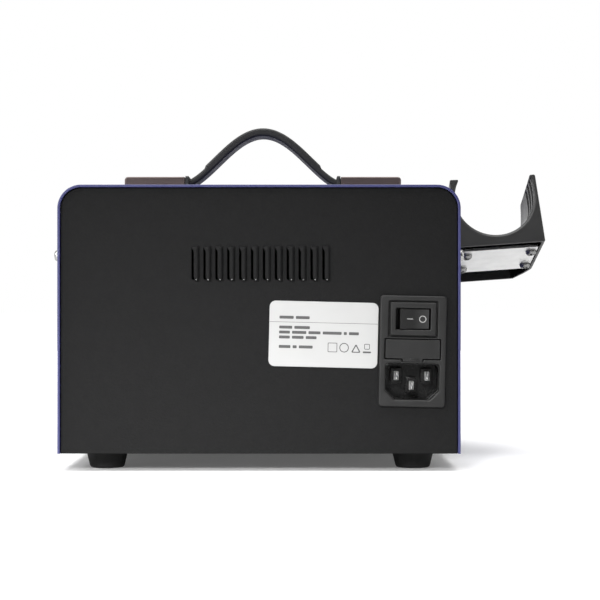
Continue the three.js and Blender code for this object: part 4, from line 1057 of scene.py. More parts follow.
def make_handle_ends():
    top = CAP_BOTTOM + CAP_HEIGHT
    for side, sx in (("left", -1), ("right", 1)):
        inner = sx * CAP_INNER
        outer = sx * CAP_OUTER
        wall = sx * CAP_SHEET
        # A pressed cover: roof and closed outer end, open towards the strap.
        profile = [
            (inner, top - CAP_SHEET, 0.2),
            (outer - wall, top - CAP_SHEET, 0.6),
            (outer - wall, CAP_BOTTOM, 0.1),
            (outer, CAP_BOTTOM, 0.1),
            (outer, top, 1.7),
            (inner, top, 0.3),
        ]
        cap = Shape()
        half = CAP_WIDTH / 2
        cap.add(plate(soften(profile, 0.3, 5), [], -half, half, 0.7, 4), UPRIGHT)
        for y0, y1 in ((-half, CAP_SHEET - half), (half - CAP_SHEET, half)):
            x0, x1 = sorted((inner + wall * 0.02, outer - wall * 0.6))
            cap.add(slab(x0, x1, y0 + 0.02, y1 - 0.02, CAP_BOTTOM, top - 0.75, 0.12, 0.3))
        piece(f"handle_cover_{side}", cap, BRONZE, replaces=(f"handle_cap_{side}",))

        x0, x1 = sorted((sx * (CAP_INNER - GAP - CLIP_THICKNESS), sx * (CAP_INNER - GAP)))
        middle = (CAP_BOTTOM + top + CLIP_RISE) / 2
        rim = rounded_rectangle(0, middle, CAP_WIDTH, CAP_HEIGHT + CLIP_RISE, 1.0, 4)
        low = CAP_BOTTOM + 1.8
        high = top - 0.6
        mouth = rounded_rectangle(0, (low + high) / 2, STRAP_WIDTH + 1, high - low, 0.6, 4)
        clip = Shape().add(plate(rim, [mouth], x0, x1, 0.35, 3), FACING_SIDE)
        piece(f"handle_guide_{side}", clip, PLASTIC, replaces=(f"handle_clip_{side}",))


# Screws
HEAD_RADIUS = 2.8
HEAD_HEIGHT = 2.1
# Rings of points on a head, as parts of its radius: close together over the recess and at the rim
HEAD_RINGS = (0.05, 0.09, 0.13, 0.18, 0.23, 0.28, 0.33, 0.38, 0.44, 0.5, 0.56, 0.62)
HEAD_RINGS += (0.7, 0.78, 0.85, 0.91, 0.955, 0.985, 1.0)


def cross_arm(u, v):
    """Depth of one arm of the cross recess, from 0 to 1, with its length along u."""
    arm_length = 0.6 * HEAD_RADIUS
    arm_width = 0.17 * HEAD_RADIUS
    along = min(1.0, max(0.0, (arm_length - abs(u)) / (0.12 * HEAD_RADIUS)))
    across = min(1.0, max(0.0, (arm_width - abs(v)) / (0.07 * HEAD_RADIUS)))
    taper = 1 - 0.45 * min(1.0, abs(u) / arm_length)
    return along * across * taper


def screw_head(height=HEAD_HEIGHT):
    """A pan head on z = 0 with a cross recess."""
    steps = 64
    points = [Vector((0, 0, height * 0.35))]
    faces = []
    for part in HEAD_RINGS:
        r = HEAD_RADIUS * part
        for i in range(steps):
            a = math.tau * i / steps
            x = r * math.cos(a)
            y = r * math.sin(a)
            dome = height * max(0.0, 1 - (r / HEAD_RADIUS) ** 4) ** 0.5
            depth = 0.62 * height * max(cross_arm(x, y), cross_arm(y, x))
            points.append(Vector((x, y, dome - depth)))
    count = len(HEAD_RINGS)
    for i in range(steps):
        j = (i + 1) % steps
        faces.append((0, 1 + i, 1 + j))
        for k in range(count - 1):
            a = 1 + k * steps
            faces.append((a + i, a + steps + i, a + steps + j, a + j))
    rim = 1 + (count - 1) * steps
    points.append(Vector((0, 0, 0)))
    for i in range(steps):
        faces.append((rim + (i + 1) % steps, rim + i, len(points) - 1))
    return points, faces


def in_recess_shade(spot):
    """Whether a spot in a screw's frame is in the cross recess of its head."""
    long_side = max(abs(spot.x), abs(spot.y))
    short_side = min(abs(spot.x), abs(spot.y))
    return spot.z > 0.2 and long_side < 0.58 * HEAD_RADIUS and short_side < 0.17 * HEAD_RADIUS


def screw(name, node, place, material=SCREW):
    shape = Shape().add(screw_head(), place)
    shape.add(lathe([(0, -5), (1.2, -5), (1.5, -4.5), (1.5, 0.1), (0, 0.1)], 24), place)
    obj = piece(name, shape, material, replaces=(node,), angle=50)
    # The faces of the cross recess take the near-black metal: painted shade.
    mark_faces(obj, RECESS_SHADE, place, in_recess_shade)


SIDE_SCREW_INSET = 9
SIDE_SCREW_Z = 100


def make_side_screws():
    for end, sy in (("rear", 1), ("front", -1)):
        for side, sx in (("left", -1), ("right", 1)):
            roll = turn(math.radians(20 + 23 * sx + 31 * sy), "Z")
            spot = shift(sx * (HALF_WIDTH + 0.1), sy * (HALF_DEPTH - SIDE_SCREW_INSET), SIDE_SCREW_Z)
            place = spot @ turn(sx * math.pi / 2, "Y") @ roll
            screw(f"case_screw_{end}_{side}", f"side_screw_{end}_{side}", place)


# Feet
FOOT_TOP = 9.9
FOOT_BOTTOM = 8.0
FOOT_HEIGHT = 7.9
FOOT_RECESS = 2.6
FOOT_FROM_SIDE = 21
FOOT_FROM_END = 26
FOOT_SCREW_HEIGHT = 1.7


def make_feet():
    profile = [
        (0, FOOT_RECESS),
        (2.0, FOOT_RECESS),
        (3.9, FOOT_RECESS),
        (4.2, 0, 0.5),
        (FOOT_BOTTOM, 0, 1.4),
        (FOOT_TOP, FOOT_HEIGHT, 0.4),
        (0, FOOT_HEIGHT),
    ]
    for end, sy in (("rear", 1), ("front", -1)):
        for side, sx in (("left", -1), ("right", 1)):
            place = shift(sx * (HALF_WIDTH - FOOT_FROM_SIDE), sy * (HALF_DEPTH - FOOT_FROM_END), 0)
            shape = Shape().add(soft_lathe(profile, 0.3, 64, 4), place)
            name = f"foot_{end}_{side}"
            piece(f"rubber_{name}", shape, RUBBER, replaces=(name,))
            head_place = place @ shift(0, 0, FOOT_RECESS - 0.05) @ turn(math.pi, "X")
            head = Shape().add(screw_head(FOOT_SCREW_HEIGHT), head_place)
            obj = piece(f"foot_screw_{end}_{side}", head, SCREW, angle=50)
            # Its cross recess takes the near-black metal too: painted shade.
            mark_faces(obj, RECESS_SHADE, head_place, in_recess_shade)


make_label_pieces()
make_inlet()
make_strap()
make_handle_ends()
make_side_screws()
make_feet()

# Gun holder. Its own frame has x out from the case, y down towards the front and z up.
HOLDER_CENTRE = (-118.8, 12, 132.3)
HOLDER_YAW = math.radians(2.5)
HOLDER_PITCH = math.radians(-16)
HOLDER_ROLL = math.radians(-4.2)
BORE = 20.3
HOLDER_BOTTOM = -25.4
HOLDER_LENGTH = 66.7
HALF_BOTTOM = 23.5
HALF_TIP = 22.3
HOLDER_TIP = 10.8
HOLDER_WALL = 1.6
WALL_CLEARANCE = 2.5
BRACKET_START = 11.2
BRACKET_END = 49
BRACKET_RECESS = 2.2
BRACKET_THICKNESS = 1.5
PLATE_TOP = HOLDER_BOTTOM + BRACKET_RECESS - GAP
SCREW_U = (-15, 18.6)
SCREW_W = (18.3, 41.5)
BOSS_RADIUS = 3.6
SCREW_HOLE = 1.8
POCKET_END = 65.1
holder_place = (
    shift(*HOLDER_CENTRE)
    @ turn(math.pi + HOLDER_YAW, "Z")
    @ turn(HOLDER_PITCH, "X")
    @ turn(HOLDER_ROLL, "Y")
)


def outside_of_wall(clearance):
    """Everything beyond a plane beside the case's wall, in the holder's frame."""
    solid = plate(rectangle(-220, -HALF_WIDTH - clearance, -100, 100), [], 40, 220, 0)
    return Shape().add(solid, holder_place.inverted())


# The cradle's side view: how high its sides stand, along y.
crest_corners = [(-5, HOLDER_TIP, 0), (0.1, HOLDER_TIP, 0), (41, 8, 6), (48, 1, 5)]
CREST = soften(crest_corners + [(HOLDER_LENGTH, -17.5, 0)], 0, 8)
# Its plan view: half the width, along y. The last point only closes the outline.
flank_corners = [(-5, HALF_BOTTOM, 0), (50, HALF_BOTTOM, 8), (57.5, 20.5, 8), (HOLDER_LENGTH, 15.5, 0)]
FLANK = soften(flank_corners + [(0, 0, 0)], 0, 8)[:-1]
GROOVE_STARTS = (2.2, 9.4, 16.6)
GROOVE_WIDTH = 5
GROOVE_DEPTH = 1.1
GROOVE_SLANT = 0.3
BORE_CHAMFER = 0.9
FLARE = 0.37
# Angle over which the grooves run out under the lip
FADE = 0.16


def along(curve, y):
    """Height of a line of (y, value) points at y."""
    for (y0, v0), (y1, v1) in zip(curve, curve[1:]):
        if y0 <= y <= y1:
            return v0 + (v1 - v0) * (y - y0) / (y1 - y0)
    return curve[-1][1]


def bore_at(y):
    """Radius of the bore at y: a chamfered mouth, then the grooves."""
    line = [(0, BORE + BORE_CHAMFER), (BORE_CHAMFER, BORE)]
    deep = BORE + GROOVE_DEPTH
    for start in GROOVE_STARTS:
        end = start + GROOVE_WIDTH
        line += [(start, BORE), (start + GROOVE_SLANT, deep), (end - GROOVE_SLANT, deep), (end, BORE)]
    line.append((HOLDER_LENGTH, BORE))
    return along(line, y)


def quarter(x, z, radius, first, steps=4):
    """A quarter circle of points about (x, z), starting at an angle in degrees, anticlockwise."""
    for k in range(steps + 1):
        a = math.radians(first + 90 * k / steps)
        yield (x + radius * math.cos(a), z + radius * math.sin(a))


def flare(z, radius):
    """On its far side the bore is a little wider than round above its centre."""
    return 1 + FLARE * max(0.0, z / radius) ** 2


def half_section(y, opened):
    """The +x half of the cradle's cross-section at y, from its bottom corner to the bore's lowest point."""
    top = along(CREST, y)
    flank = along(FLANK, y)
    radius = bore_at(y)
    rise = (top - HOLDER_BOTTOM) / (HOLDER_TIP - HOLDER_BOTTOM)
    tip = min(flank, HALF_BOTTOM - (HALF_BOTTOM - HALF_TIP) * rise)
    lip = math.sqrt(max(1.0, BORE**2 - top**2)) * (flare(top, BORE) if opened else 1)
    corner = min(1.1, (tip - lip) * 0.3)
    half = list(quarter(flank - 0.5, HOLDER_BOTTOM + 0.5, 0.5, -90))
    half += list(quarter(tip - corner, top - corner, corner, 0))
    half.append((lip + 0.6 * corner, top - 0.12 * corner))
    start = math.asin(max(-1.0, min(1.0, (top - corner * 0.8) / BORE)))
    steps = 30
    for k in range(steps + 1):
        a = start + (-math.pi / 2 - start) * k / steps
        r = BORE + (radius - BORE) * min(1.0, (start - a) / FADE)
        z = r * math.sin(a)
        half.append((r * math.cos(a) * (flare(z, r) if opened else 1), z))
    return half


def cradle_section(y):
    """The cradle's whole cross-section, anticlockwise, always with the same count of points."""
    near = [(-x, z) for x, z in half_section(y, False)[-2::-1]]
    return [Vector(p) for p in half_section(y, True) + near]


def clear_of_wall(point):
    """Moves a point of the cradle's near flank off the case's wall."""
    limit = -HALF_WIDTH - WALL_CLEARANCE
    excess = (holder_place @ point).x - limit
    if excess > 0 and point.x < 0:
        return point + Vector((excess / -holder_place[0][0], 0, 0))
    return point


def make_cradle():
    # Each station is (y, how far its section is drawn in), so that both ends are rounded.
    stations = [(0, 0.5), (0.08, 0.3), (0.25, 0.12), (0.5, 0)]
    marks = [BORE_CHAMFER, 2.1]
    for start in GROOVE_STARTS:
        end = start + GROOVE_WIDTH
        marks += [start, start + GROOVE_SLANT, start + GROOVE_WIDTH / 2, end - GROOVE_SLANT, end]
    marks += [23 + 3 * i for i in range(5)] + [36 + i for i in range(31)]
    stations += [(y, 0) for y in marks]
    stations += [(HOLDER_LENGTH - 0.25, 0.12), (HOLDER_LENGTH - 0.08, 0.3), (HOLDER_LENGTH, 0.5)]
    rings = []
    for y, amount in stations:
        ring = cradle_section(y)
        ring = inset(ring, amount) if amount else ring
        rings.append([clear_of_wall(Vector((p.x, y, p.y))) for p in ring])
    block = Shape().add(loft([ring[::-1] for ring in rings]))

    inner = HALF_BOTTOM - HOLDER_WALL
    near = 0.6 - inner
    pocket_plan = [(near, HOLDER_WALL), (inner, HOLDER_WALL), (inner, 49.6), (19.2, 56.8)]
    pocket_plan += [(14.9, POCKET_END), (-14.9, POCKET_END), (-19.2, 56.8), (near, 49.6)]
    low = HOLDER_BOTTOM - 1
    pocket = Shape().add(plate(soften(pocket_plan, 1.2, 4), [], low, HOLDER_BOTTOM + 10, 0))
    roof = lathe([(0, -1), (BORE + HOLDER_WALL, -1), (BORE + HOLDER_WALL, 70), (0, 70)], 96)
    cuts = [Shape().add(roof, turn(-math.pi / 2, "X"))]
    shelf_top = HOLDER_BOTTOM + BRACKET_RECESS
    boss = lathe([(0, shelf_top), (BOSS_RADIUS, shelf_top), (BOSS_RADIUS, 0), (0, 0)], 28)
    cuts += [Shape().add(boss, shift(u, w, 0)) for u in SCREW_U for w in SCREW_W]
    pocket = carve(pocket, cuts)
    notch = slab(-30, -15, BRACKET_START - GAP, BRACKET_END + GAP, low, shelf_top, 0, 0.2)
    cradle = carve(block, [pocket, Shape().add(notch)])
    placed = Shape().add((cradle.points, cradle.faces), holder_place)
    name = "gun_cradle_moulding"
    obj = piece(name, placed, CRADLE, replaces=("gun_cradle",), angle=32)

    # Faces inside the pocket take the darker plastic: painted shade under the bore and the plate.
    def in_pocket_shade(spot):
        under_bore = math.hypot(spot.x, spot.z) > BORE + HOLDER_WALL - 0.1
        between_walls = abs(spot.x) < inner + 0.05 and HOLDER_WALL - 0.05 < spot.y < POCKET_END + 0.1
        return under_bore and between_walls and spot.z > HOLDER_BOTTOM + 0.3

    mark_faces(obj, POCKET_SHADE, holder_place, in_pocket_shade)


BRACKET_SCREWS = [(-12, 108), (-30, 103)]


def make_bracket():
    low = PLATE_TOP - BRACKET_THICKNESS
    side = HALF_BOTTOM - HOLDER_WALL - GAP
    outline = [
        (-HALF_BOTTOM - 8, BRACKET_START),
        (side, BRACKET_START, 0.8),
        (side, BRACKET_END - 2, 0.5),
        (side - 2, BRACKET_END, 0.5),
        (-HALF_BOTTOM - 8, BRACKET_END),
    ]
    holes = [circle(SCREW_HOLE, 24, u, w) for u in SCREW_U for w in SCREW_W]
    shelf = Shape().add(plate(soften(outline, 0), holes, low, PLATE_TOP, 0.15, 2))
    shelf = carve(shelf, [], [outside_of_wall(GAP)])
    flange = [(8, 103.7), (8, 112, 3), (-4, 114, 3), (-36, 109, 3), (-36, 96.5, 2), (-26.6, 93.9)]
    wall_holes = [circle(SCREW_HOLE, 24, y, z) for y, z in BRACKET_SCREWS]
    side_x = -HALF_WIDTH - GAP
    upright = plate(soften(flange, 0), wall_holes, side_x - BRACKET_THICKNESS, side_x, 0.15, 2)
    shape = Shape().add((shelf.points, shelf.faces), holder_place)
    shape.add(upright, FACING_SIDE)
    piece("holder_angle", shape, BRUSHED, replaces=("holder_bracket",))

    number = 1
    for u in SCREW_U:
        for w in SCREW_W:
            spin = turn(math.radians(35 * number), "Z")
            place = holder_place @ shift(u, w, low - 0.1) @ turn(math.pi, "X") @ spin
            # These heads face down under the cradle and take the darker steel: painted shade.
            screw(f"cradle_screw_head_{number}", f"cradle_screw_{number}", place, SHADED_SCREW)
            number += 1
    for i, (y, z) in enumerate(BRACKET_SCREWS):
        place = shift(-INSIDE_HALF + 0.1, y, z) @ turn(math.pi / 2, "Y")
        screw(f"bracket_screw_head_{i + 1}", f"bracket_screw_{i + 1}", place)


make_cradle()
make_bracket()

# Front controls. On the front, x runs to +X, y runs up and z comes out of the panel.
KNOB_RADIUS = 11
KNOB_GAP = 1.2
KNOB_HEIGHT = 15
KNOB_Z = 68
KNOB_X = {"air_flow": -62, "air_heat": -26, "iron_heat": 40}
KNOB_BODY = {"air_flow": "flow_knob", "air_heat": "air_heat_knob", "iron_heat": "iron_heat_knob"}
KNOB_SWEEP = math.radians(150)
WINDOW_WIDTH = 58
WINDOW_HEIGHT = 24
WINDOW_Z = 104
WINDOW_RIM = 5
WINDOW_LEDGE = 4
WINDOW_X = {"air": -44, "iron": 44}
SWITCH_Z = 31
SWITCH_X = {"air": -72, "iron": 72}
OUTLET_Z = 31
OUTLET_X = {"air": -32, "iron": 32}
OUTLET_RADIUS = 8
BUSHING_HOLE = 3.8
SWITCH_BEZEL = (21, 15)
SWITCH_BODY = (19.6, 13.6)
SWITCH_DEPTH = 13


def on_front(x, z, out=0.0):
    return shift(x, FRONT_FACE - out, z) @ FACING_FRONT


def make_front_panel():
    smaller = WINDOW_LEDGE - 2 * GAP
    holes = [
        rounded_rectangle(x, WINDOW_Z, WINDOW_WIDTH - smaller, WINDOW_HEIGHT - smaller, 0.5)
        for x in WINDOW_X.values()
    ]
    holes += [circle(BUSHING_HOLE, 32, x, KNOB_Z) for x in KNOB_X.values()]
    wide = SWITCH_BODY[1] + 2 * GAP
    high = SWITCH_BODY[0] + 2 * GAP
    holes += [rounded_rectangle(x, SWITCH_Z, wide, high, 0.4) for x in SWITCH_X.values()]
    holes += [circle(OUTLET_RADIUS + GAP, 48, x, OUTLET_Z) for x in OUTLET_X.values()]
    shape = panel_sheet(holes, on_front(0, 0))
    add_flanges(shape, FRONT_FACE)
    piece("front_panel_sheet", shape, POWDER, replaces=("front_panel",))


SEGMENT_LENGTH = 5.2
SEGMENT_WIDTH = 1.3
DIGIT_SLANT = 0.12
DIGIT_PITCH = 9.4


def segment_digit(shape, place, x, low, high):
    """One figure of seven bars, slanted as on such displays."""
    half = SEGMENT_LENGTH / 2
    bars = [(0, 2 * half, False), (0, 0, False), (0, -2 * half, False)]
    bars += [(-half, half, True), (half, half, True), (-half, -half, True), (half, -half, True)]
    reach = half - 0.35
    tip = SEGMENT_WIDTH / 2
    for cx, cy, stands in bars:
        outline = [(-reach, 0), (tip - reach, -tip), (reach - tip, -tip)]
        outline += [(reach, 0), (reach - tip, tip), (tip - reach, tip)]
        if stands:
            outline = [(-b, a) for a, b in outline]
        outline = [(x + cx + a + (cy + b) * DIGIT_SLANT, cy + b) for a, b in outline]
        shape.add(plate(outline, [], low, high, 0), place)


def window_outline(smaller, radius, steps=5):
    return rounded_rectangle(0, 0, WINDOW_WIDTH - smaller, WINDOW_HEIGHT - smaller, radius, steps)


def make_windows():
    for name, x in WINDOW_X.items():
        place = on_front(x, WINDOW_Z, 0.1)
        rim = plate(window_outline(0, 2, 6), [window_outline(WINDOW_RIM, 1.2, 6)], 0, 1.5, 0.4, 4, 0)
        tail = plate(window_outline(WINDOW_LEDGE, 0.4), [window_outline(6.4, 0.4)], -3.0, 0.02, 0.05, 1)
        frame_shape = Shape().add(rim, place).add(tail, place)
        node = f"display_window_{name}"
        piece(f"display_frame_{name}", frame_shape, PLASTIC, replaces=(node,))
        pane = plate(window_outline(WINDOW_RIM + 0.1, 1.1, 6), [], -0.4, 0.9, 0.15, 2, 0)
        piece(f"display_pane_{name}", Shape().add(pane, place), SMOKED)
        digits = Shape()
        for step in (-1, 0, 1):
            segment_digit(digits, place, step * DIGIT_PITCH, 0.85, 0.93)
        piece(f"display_segments_{name}", digits, SEGMENTS)


# A knob from its skirt to its hollowed top: how far its side is drawn in, height, depth of the flutes
KNOB_PROFILE = [
    (0.5, 0, 0),
    (0, 0.5, 0),
    (0, 2.2, 0),
    (0.7, 2.9, 0),
    (0.9, 3.3, 0.7),
    (1.3, KNOB_HEIGHT - 1.6, 0.7),
    (1.5, KNOB_HEIGHT - 0.7, 0.3),
    (1.9, KNOB_HEIGHT - 0.15, 0.05),
    (2.6, KNOB_HEIGHT, 0),
    (3.4, KNOB_HEIGHT - 0.05, 0),
    (3.9, KNOB_HEIGHT - 0.35, 0),
]
KNOB_FLUTES = 24
KNOB_TICKS = 11


def knob_ring(radius, z, depth, steps=144):
    ring = []
    for i in range(steps):
        a = math.tau * i / steps
        wave = 0.5 - 0.5 * math.cos(KNOB_FLUTES * a)
        r = radius - depth * wave**3
        ring.append(Vector((r * math.cos(a), r * math.sin(a), z)))
    return ring


def make_knobs():
    for name, x in KNOB_X.items():
        place = on_front(x, KNOB_Z, KNOB_GAP)
        body = KNOB_BODY[name]
        rings = [knob_ring(KNOB_RADIUS - drawn_in, z, depth) for drawn_in, z, depth in KNOB_PROFILE]
        shape = Shape().add(loft(rings), place)
        shape.add(lathe([(0, -10), (3, -10), (3, 0.1), (0, 0.1)], 32), place)
        piece(f"knob_cap_{name}", shape, PLASTIC, body, (f"knob_{name}",))
        pointer = Shape()
        bar = soften(rectangle(-0.5, 0.5, 2.0, KNOB_RADIUS - 4.1), 0.3, 3)
        pointer.add(plate(bar, [], KNOB_HEIGHT - 0.4, KNOB_HEIGHT - 0.28, 0), place)
        flank = slab(-0.5, 0.5, KNOB_RADIUS - 1.2, KNOB_RADIUS - 0.95, 3.6, KNOB_HEIGHT - 2.2, 0.05, 0.05)
        skirt = slab(-0.4, 0.4, KNOB_RADIUS - 0.4, KNOB_RADIUS + 0.06, 0.8, 2.0, 0.05, 0.05)
        pointer.add(flank, place).add(skirt, place)
        piece(f"knob_pointer_{name}", pointer, SCALE, body)
        scale = Shape()
        for i in range(KNOB_TICKS):
            a = KNOB_SWEEP * (2 * i / (KNOB_TICKS - 1) - 1)
            length = 2.4 if i % 5 == 0 else 1.5
            tick = rounded_rectangle(0, KNOB_RADIUS + 2 + length / 2, 0.45, length, 0.15, 2)
            scale.add(plate(tick, [], -0.03, 0.03, 0), on_front(x, KNOB_Z) @ turn(a, "Z"))
        piece(f"knob_scale_{name}", scale, SCALE)


# A front switch stands upright: its length runs up and its face comes out of the panel.
SWITCH_UP = Matrix(((0, -1, 0, 0), (0, 0, -1, 0), (1, 0, 0, 0), (0, 0, 0, 1)))


def make_switches():
    for name, x in SWITCH_X.items():
        place = shift(x, FRONT_FACE - 0.1, SWITCH_Z) @ SWITCH_UP
        opening = rounded_rectangle(0, 0, *ROCKER_OPENING, 0.5, 3)
        bezel = rounded_rectangle(0, 0, *SWITCH_BEZEL, 1, 5)
        body = rounded_rectangle(0, 0, *SWITCH_BODY, 0.5)
        shape = Shape().add(plate(bezel, [opening], 0, 2, 0.5, 4, 0), place)
        shape.add(plate(body, [opening], -SWITCH_DEPTH, 0.02, 0.1, 1), place)
        shape.add(slab(-9.5, 9.5, -6.5, 6.5, 0.2 - SWITCH_DEPTH, -10.2, 0.1), place)
        for side in (-1, 1):
            tab = slab(-3, 3, side * 3.6 - 0.5, side * 3.6 + 0.5, -4 - SWITCH_DEPTH, 0.5 - SWITCH_DEPTH, 0.1)
            shape.add(tab, place @ turn(math.pi / 2, "Z"))
        node = f"switch_housing_{name}"
        piece(f"switch_frame_{name}", shape, PLASTIC, replaces=(node,))
        rocker_place = place @ shift(0, 0, -0.2)
        make_rocker(f"switch_cap_{name}", f"switch_rocker_{name}", f"{name}_switch", rocker_place)


SOCKET_BORE = 5.8
SOCKET_THREAD = 7.2
SOCKET_RIM = 10.5
SOCKET_PINS = 5
PIN_CIRCLE = 3.4


def make_iron_socket():
    place = on_front(OUTLET_X["iron"], OUTLET_Z, 0.1)
    bore = SOCKET_BORE
    crest = SOCKET_THREAD
    root = crest - 0.35
    rim = SOCKET_RIM
    profile = [(bore, -1), (OUTLET_RADIUS, -1), (OUTLET_RADIUS, 0), (rim - 0.3, 0), (rim, 0.3)]
    profile += [(rim, 1.9), (rim - 0.5, 2.4), (crest + 0.2, 2.4), (crest, 2.6)]
    for i in range(6):
        z = 2.8 + 0.8 * i
        profile += [(crest, z), (root, z + 0.25), (root, z + 0.4), (crest, z + 0.65)]
    profile += [(crest, 7.8), (crest - 0.4, 8.2), (bore + 0.3, 8.2), (bore, 7.9)]
    shape = Shape().add(lathe(profile, 72, closed=True), place)
    tail = [(bore, -11), (OUTLET_RADIUS, -11), (OUTLET_RADIUS, -0.98), (bore, -0.98)]
    shape.add(lathe(tail, 48, closed=True), place)
    piece("iron_socket_shell", shape, STEEL, replaces=("iron_socket",))
    width = bore - 0.05
    insert = Shape().add(soft_lathe([(0, -3), (width, -3), (width, 0.4), (0, 0.4)], 0.2, 48), place)
    # The insert sits deep in the socket and takes the darker gloss black: painted shade.
    piece("iron_socket_insert", insert, SHADED_WELL)
    pins = Shape()
    pin = soft_lathe([(0, -2), (0.7, -2), (0.7, 3.9), (0, 3.9)], 0.25, 20)
    for i in range(SOCKET_PINS):
        a = math.tau * i / SOCKET_PINS + math.pi / 2
        pins.add(pin, place @ shift(PIN_CIRCLE * math.cos(a), PIN_CIRCLE * math.sin(a), 0))
    piece("iron_socket_pins", pins, BRASS)


GLAND_BORE = 5
GLAND_RADIUS = 9.5
GLAND_NUT = 11.5


def make_air_gland():
    place = on_front(OUTLET_X["air"], OUTLET_Z, 0.1)
    bore = GLAND_BORE
    wide = GLAND_RADIUS
    nut = soften(circle(GLAND_NUT, 6), 0.6, 3)
    shape = Shape().add(plate(nut, [circle(bore, 48)], 0, 5, 0.7, 4, 0.1), place)
    dome = [(bore, 4.9), (wide, 4.9), (wide, 5.8)]
    for i in range(4):
        z = 5.9 + 1.3 * i
        dome += [(wide, z), (wide - 0.4, z + 0.3), (wide - 0.4, z + 0.8), (wide, z + 1.1)]
    dome += [(wide - 0.3, 11.6), (8.4, 12.5), (7.2, 13.0), (bore + 0.6, 13.0), (bore, 12.5)]
    shape.add(lathe(dome, 72, closed=True), place)
    tail = [(bore, -17), (OUTLET_RADIUS, -17), (OUTLET_RADIUS, 0.05), (bore, 0.05)]
    shape.add(lathe(tail, 48, closed=True), place)
    piece("air_gland_body", shape, PLASTIC, replaces=("air_gland",))


make_front_panel()
make_windows()
make_knobs()
make_switches()
make_iron_socket()
make_air_gland()

# CAD nodes that keep their shape: the tray and what is inside the case
KEPT = {
    "base_tray": (POWDER, 0.3),
    "potentiometer_air_flow": (STEEL, 0.3),
    "potentiometer_air_heat": (STEEL, 0.3),
    "potentiometer_iron_heat": (STEEL, 0.3),
    "iron_socket_nut": (BRASS, 0.3),
    "air_gland_nut": (PLASTIC, 0.4),
    "transformer_core": (LAMINATED, 0.3),
    "transformer_winding": (TAPE, 2.0),
    "transformer_bracket": (STEEL, 0.3),
    "pump_body": (CAST, 0.8),
    "pump_armature": (LAMINATED, 0.4),
    "air_tube": (TUBE, 0.0),
    "main_board": (BOARD, 0.2),
    "control_board": (BOARD, 0.2),
    "heatsink": (SINK, 0.25),
    "filter_capacitor": (GLOSS, 0.3),
}
for node_name, (node_material, node_edge) in KEPT.items():
    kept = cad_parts[node_name]
    kept.data.materials.clear()
    kept.data.materials.append(node_material)
    smooth(kept, node_edge)

# Camera, light and floor
CAMERA_X = -19.0
CAMERA_DISTANCE = 1030
CAMERA_Z = 79.3
LENS = 133.2
SENSOR = 36
WHITE = (1, 1, 1, 1)
WORLD_LIGHT = 0.13
FLOOR_BOUNCE = (0.68, 0.68, 0.68, 1)
FLOOR_REACH = 12.0
FLOOR_DROP = 0.0002
# Softboxes aimed at the case: name, place in metres, size in metres, power in watts
SOFTBOXES = [
    ("top_box", (0.1, 0.2, 1.5), 1.6, 33),
    ("left_box", (1.5, 0.5, 0.9), 1.0, 15),
    ("right_box", (-1.5, 0.1, 0.7), 1.3, 9),
    ("low_box", (0.9, 1.2, 0.25), 0.5, 4.5),
    ("back_box", (0.1, -2.2, 0.55), 2.6, 32),
]
SOFTBOX_AIM_Z = 0.07
SNOOT_POWER = 92
SNOOT_PLACE = (0.25, 1.35, 0.45)
SNOOT_AIM = (0.05, 0.127, -0.09)
SNOOT_CONE = math.radians(19)
SNOOT_SIZE = 0.12


def split_by_camera(tree, lighting, seen, surface):
    """The camera sees one shader, and everything else is lit by the other."""
    path = tree.nodes.new("ShaderNodeLightPath")
    mix = tree.nodes.new("ShaderNodeMixShader")
    tree.links.new(path.outputs["Is Camera Ray"], mix.inputs["Fac"])
    tree.links.new(lighting, mix.inputs[1])
    tree.links.new(seen, mix.inputs[2])
    tree.links.new(mix.outputs["Shader"], surface)


def make_camera():
    data = bpy.data.cameras.new("camera")
    data.lens = LENS
    data.sensor_width = SENSOR
    data.clip_end = 50
    camera = bpy.data.objects.new("camera", data)
    camera.location = case_place @ Vector((CAMERA_X, REAR_FACE + CAMERA_DISTANCE, CAMERA_Z))
    camera.rotation_euler = (math.pi / 2, 0, math.pi)
    bpy.context.scene.collection.objects.link(camera)
    bpy.context.scene.camera = camera


def make_world():
    """A white backdrop that lights the object only a little."""
    world = bpy.data.worlds.new("studio")
    world.use_nodes = True
    tree = world.node_tree
    lighting = tree.nodes["Background"]
    seen = tree.nodes.new("ShaderNodeBackground")
    for background, strength in ((lighting, WORLD_LIGHT), (seen, 1.0)):
        background.inputs["Color"].default_value = WHITE
        background.inputs["Strength"].default_value = strength
    surface = tree.nodes["World Output"].inputs["Surface"]
    split_by_camera(tree, lighting.outputs["Background"], seen.outputs["Background"], surface)
    bpy.context.scene.world = world
    bpy.context.scene.view_settings.view_transform = "Standard"


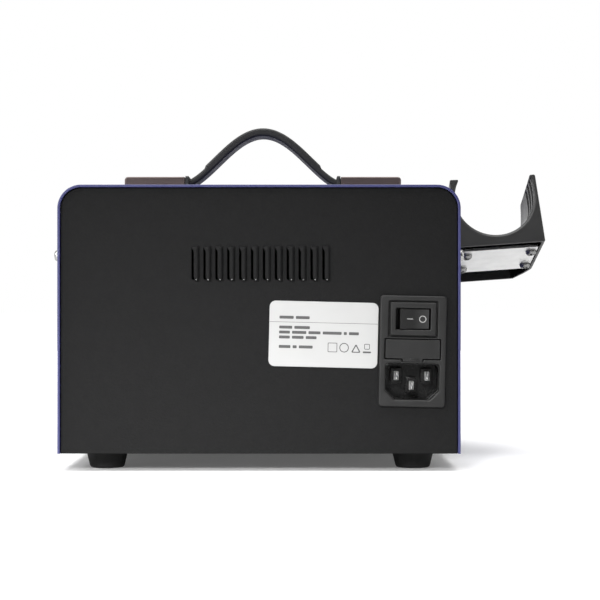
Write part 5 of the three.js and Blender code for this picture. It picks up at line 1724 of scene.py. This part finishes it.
def add_light(name, kind, power, place, target):
    data = bpy.data.lights.new(name, kind)
    data.energy = power
    light = bpy.data.objects.new(name, data)
    light.location = place
    light.rotation_euler = (Vector(target) - Vector(place)).to_track_quat("-Z", "Y").to_euler()
    bpy.context.scene.collection.objects.link(light)
    return data


def make_lights():
    for name, place, size, power in SOFTBOXES:
        box = add_light(name, "AREA", power, place, (CASE_X, CASE_Y, SOFTBOX_AIM_Z))
        box.size = size
    # A narrow light brightens the foot of the rear panel.
    snoot = add_light("snoot", "SPOT", SNOOT_POWER, SNOOT_PLACE, SNOOT_AIM)
    snoot.spot_size = SNOOT_CONE
    snoot.spot_blend = 1.0
    snoot.shadow_soft_size = SNOOT_SIZE


def make_floor_material():
    """Pale floor that glows softly far from the object, so that it meets the white backdrop."""
    look = Look("pale_floor", (0.92, 0.92, 0.92), 0.9)
    look.tone(look.noise(400, 2), 0.995, 1.005)
    tree = look.tree
    distance = tree.nodes.new("ShaderNodeVectorMath")
    distance.operation = "LENGTH"
    tree.links.new(look.coordinates, distance.inputs[0])
    glow = look.spread(distance.outputs["Value"], 0.1, 0.9, 0.2, 1.4)
    look.shader.inputs["Emission Color"].default_value = WHITE
    tree.links.new(glow, look.shader.inputs["Emission Strength"])
    # Light that bounces off the floor is dimmer than the floor looks, as from a grey studio table.
    bounce = tree.nodes.new("ShaderNodeBsdfDiffuse")
    bounce.inputs["Color"].default_value = FLOOR_BOUNCE
    surface = tree.nodes["Material Output"].inputs["Surface"]
    split_by_camera(tree, bounce.outputs["BSDF"], look.shader.outputs["BSDF"], surface)
    return look.material


def make_floor():
    floor_mesh = bpy.data.meshes.new("studio_floor")
    ring = [(p.x, p.y, -FLOOR_DROP) for p in circle(FLOOR_REACH, 96)]
    floor_mesh.from_pydata(ring, [], [tuple(range(len(ring)))])
    floor = bpy.data.objects.new("studio_floor", floor_mesh)
    bpy.context.scene.collection.objects.link(floor)
    floor_mesh.materials.append(make_floor_material())


make_camera()
make_world()
make_lights()
make_floor()
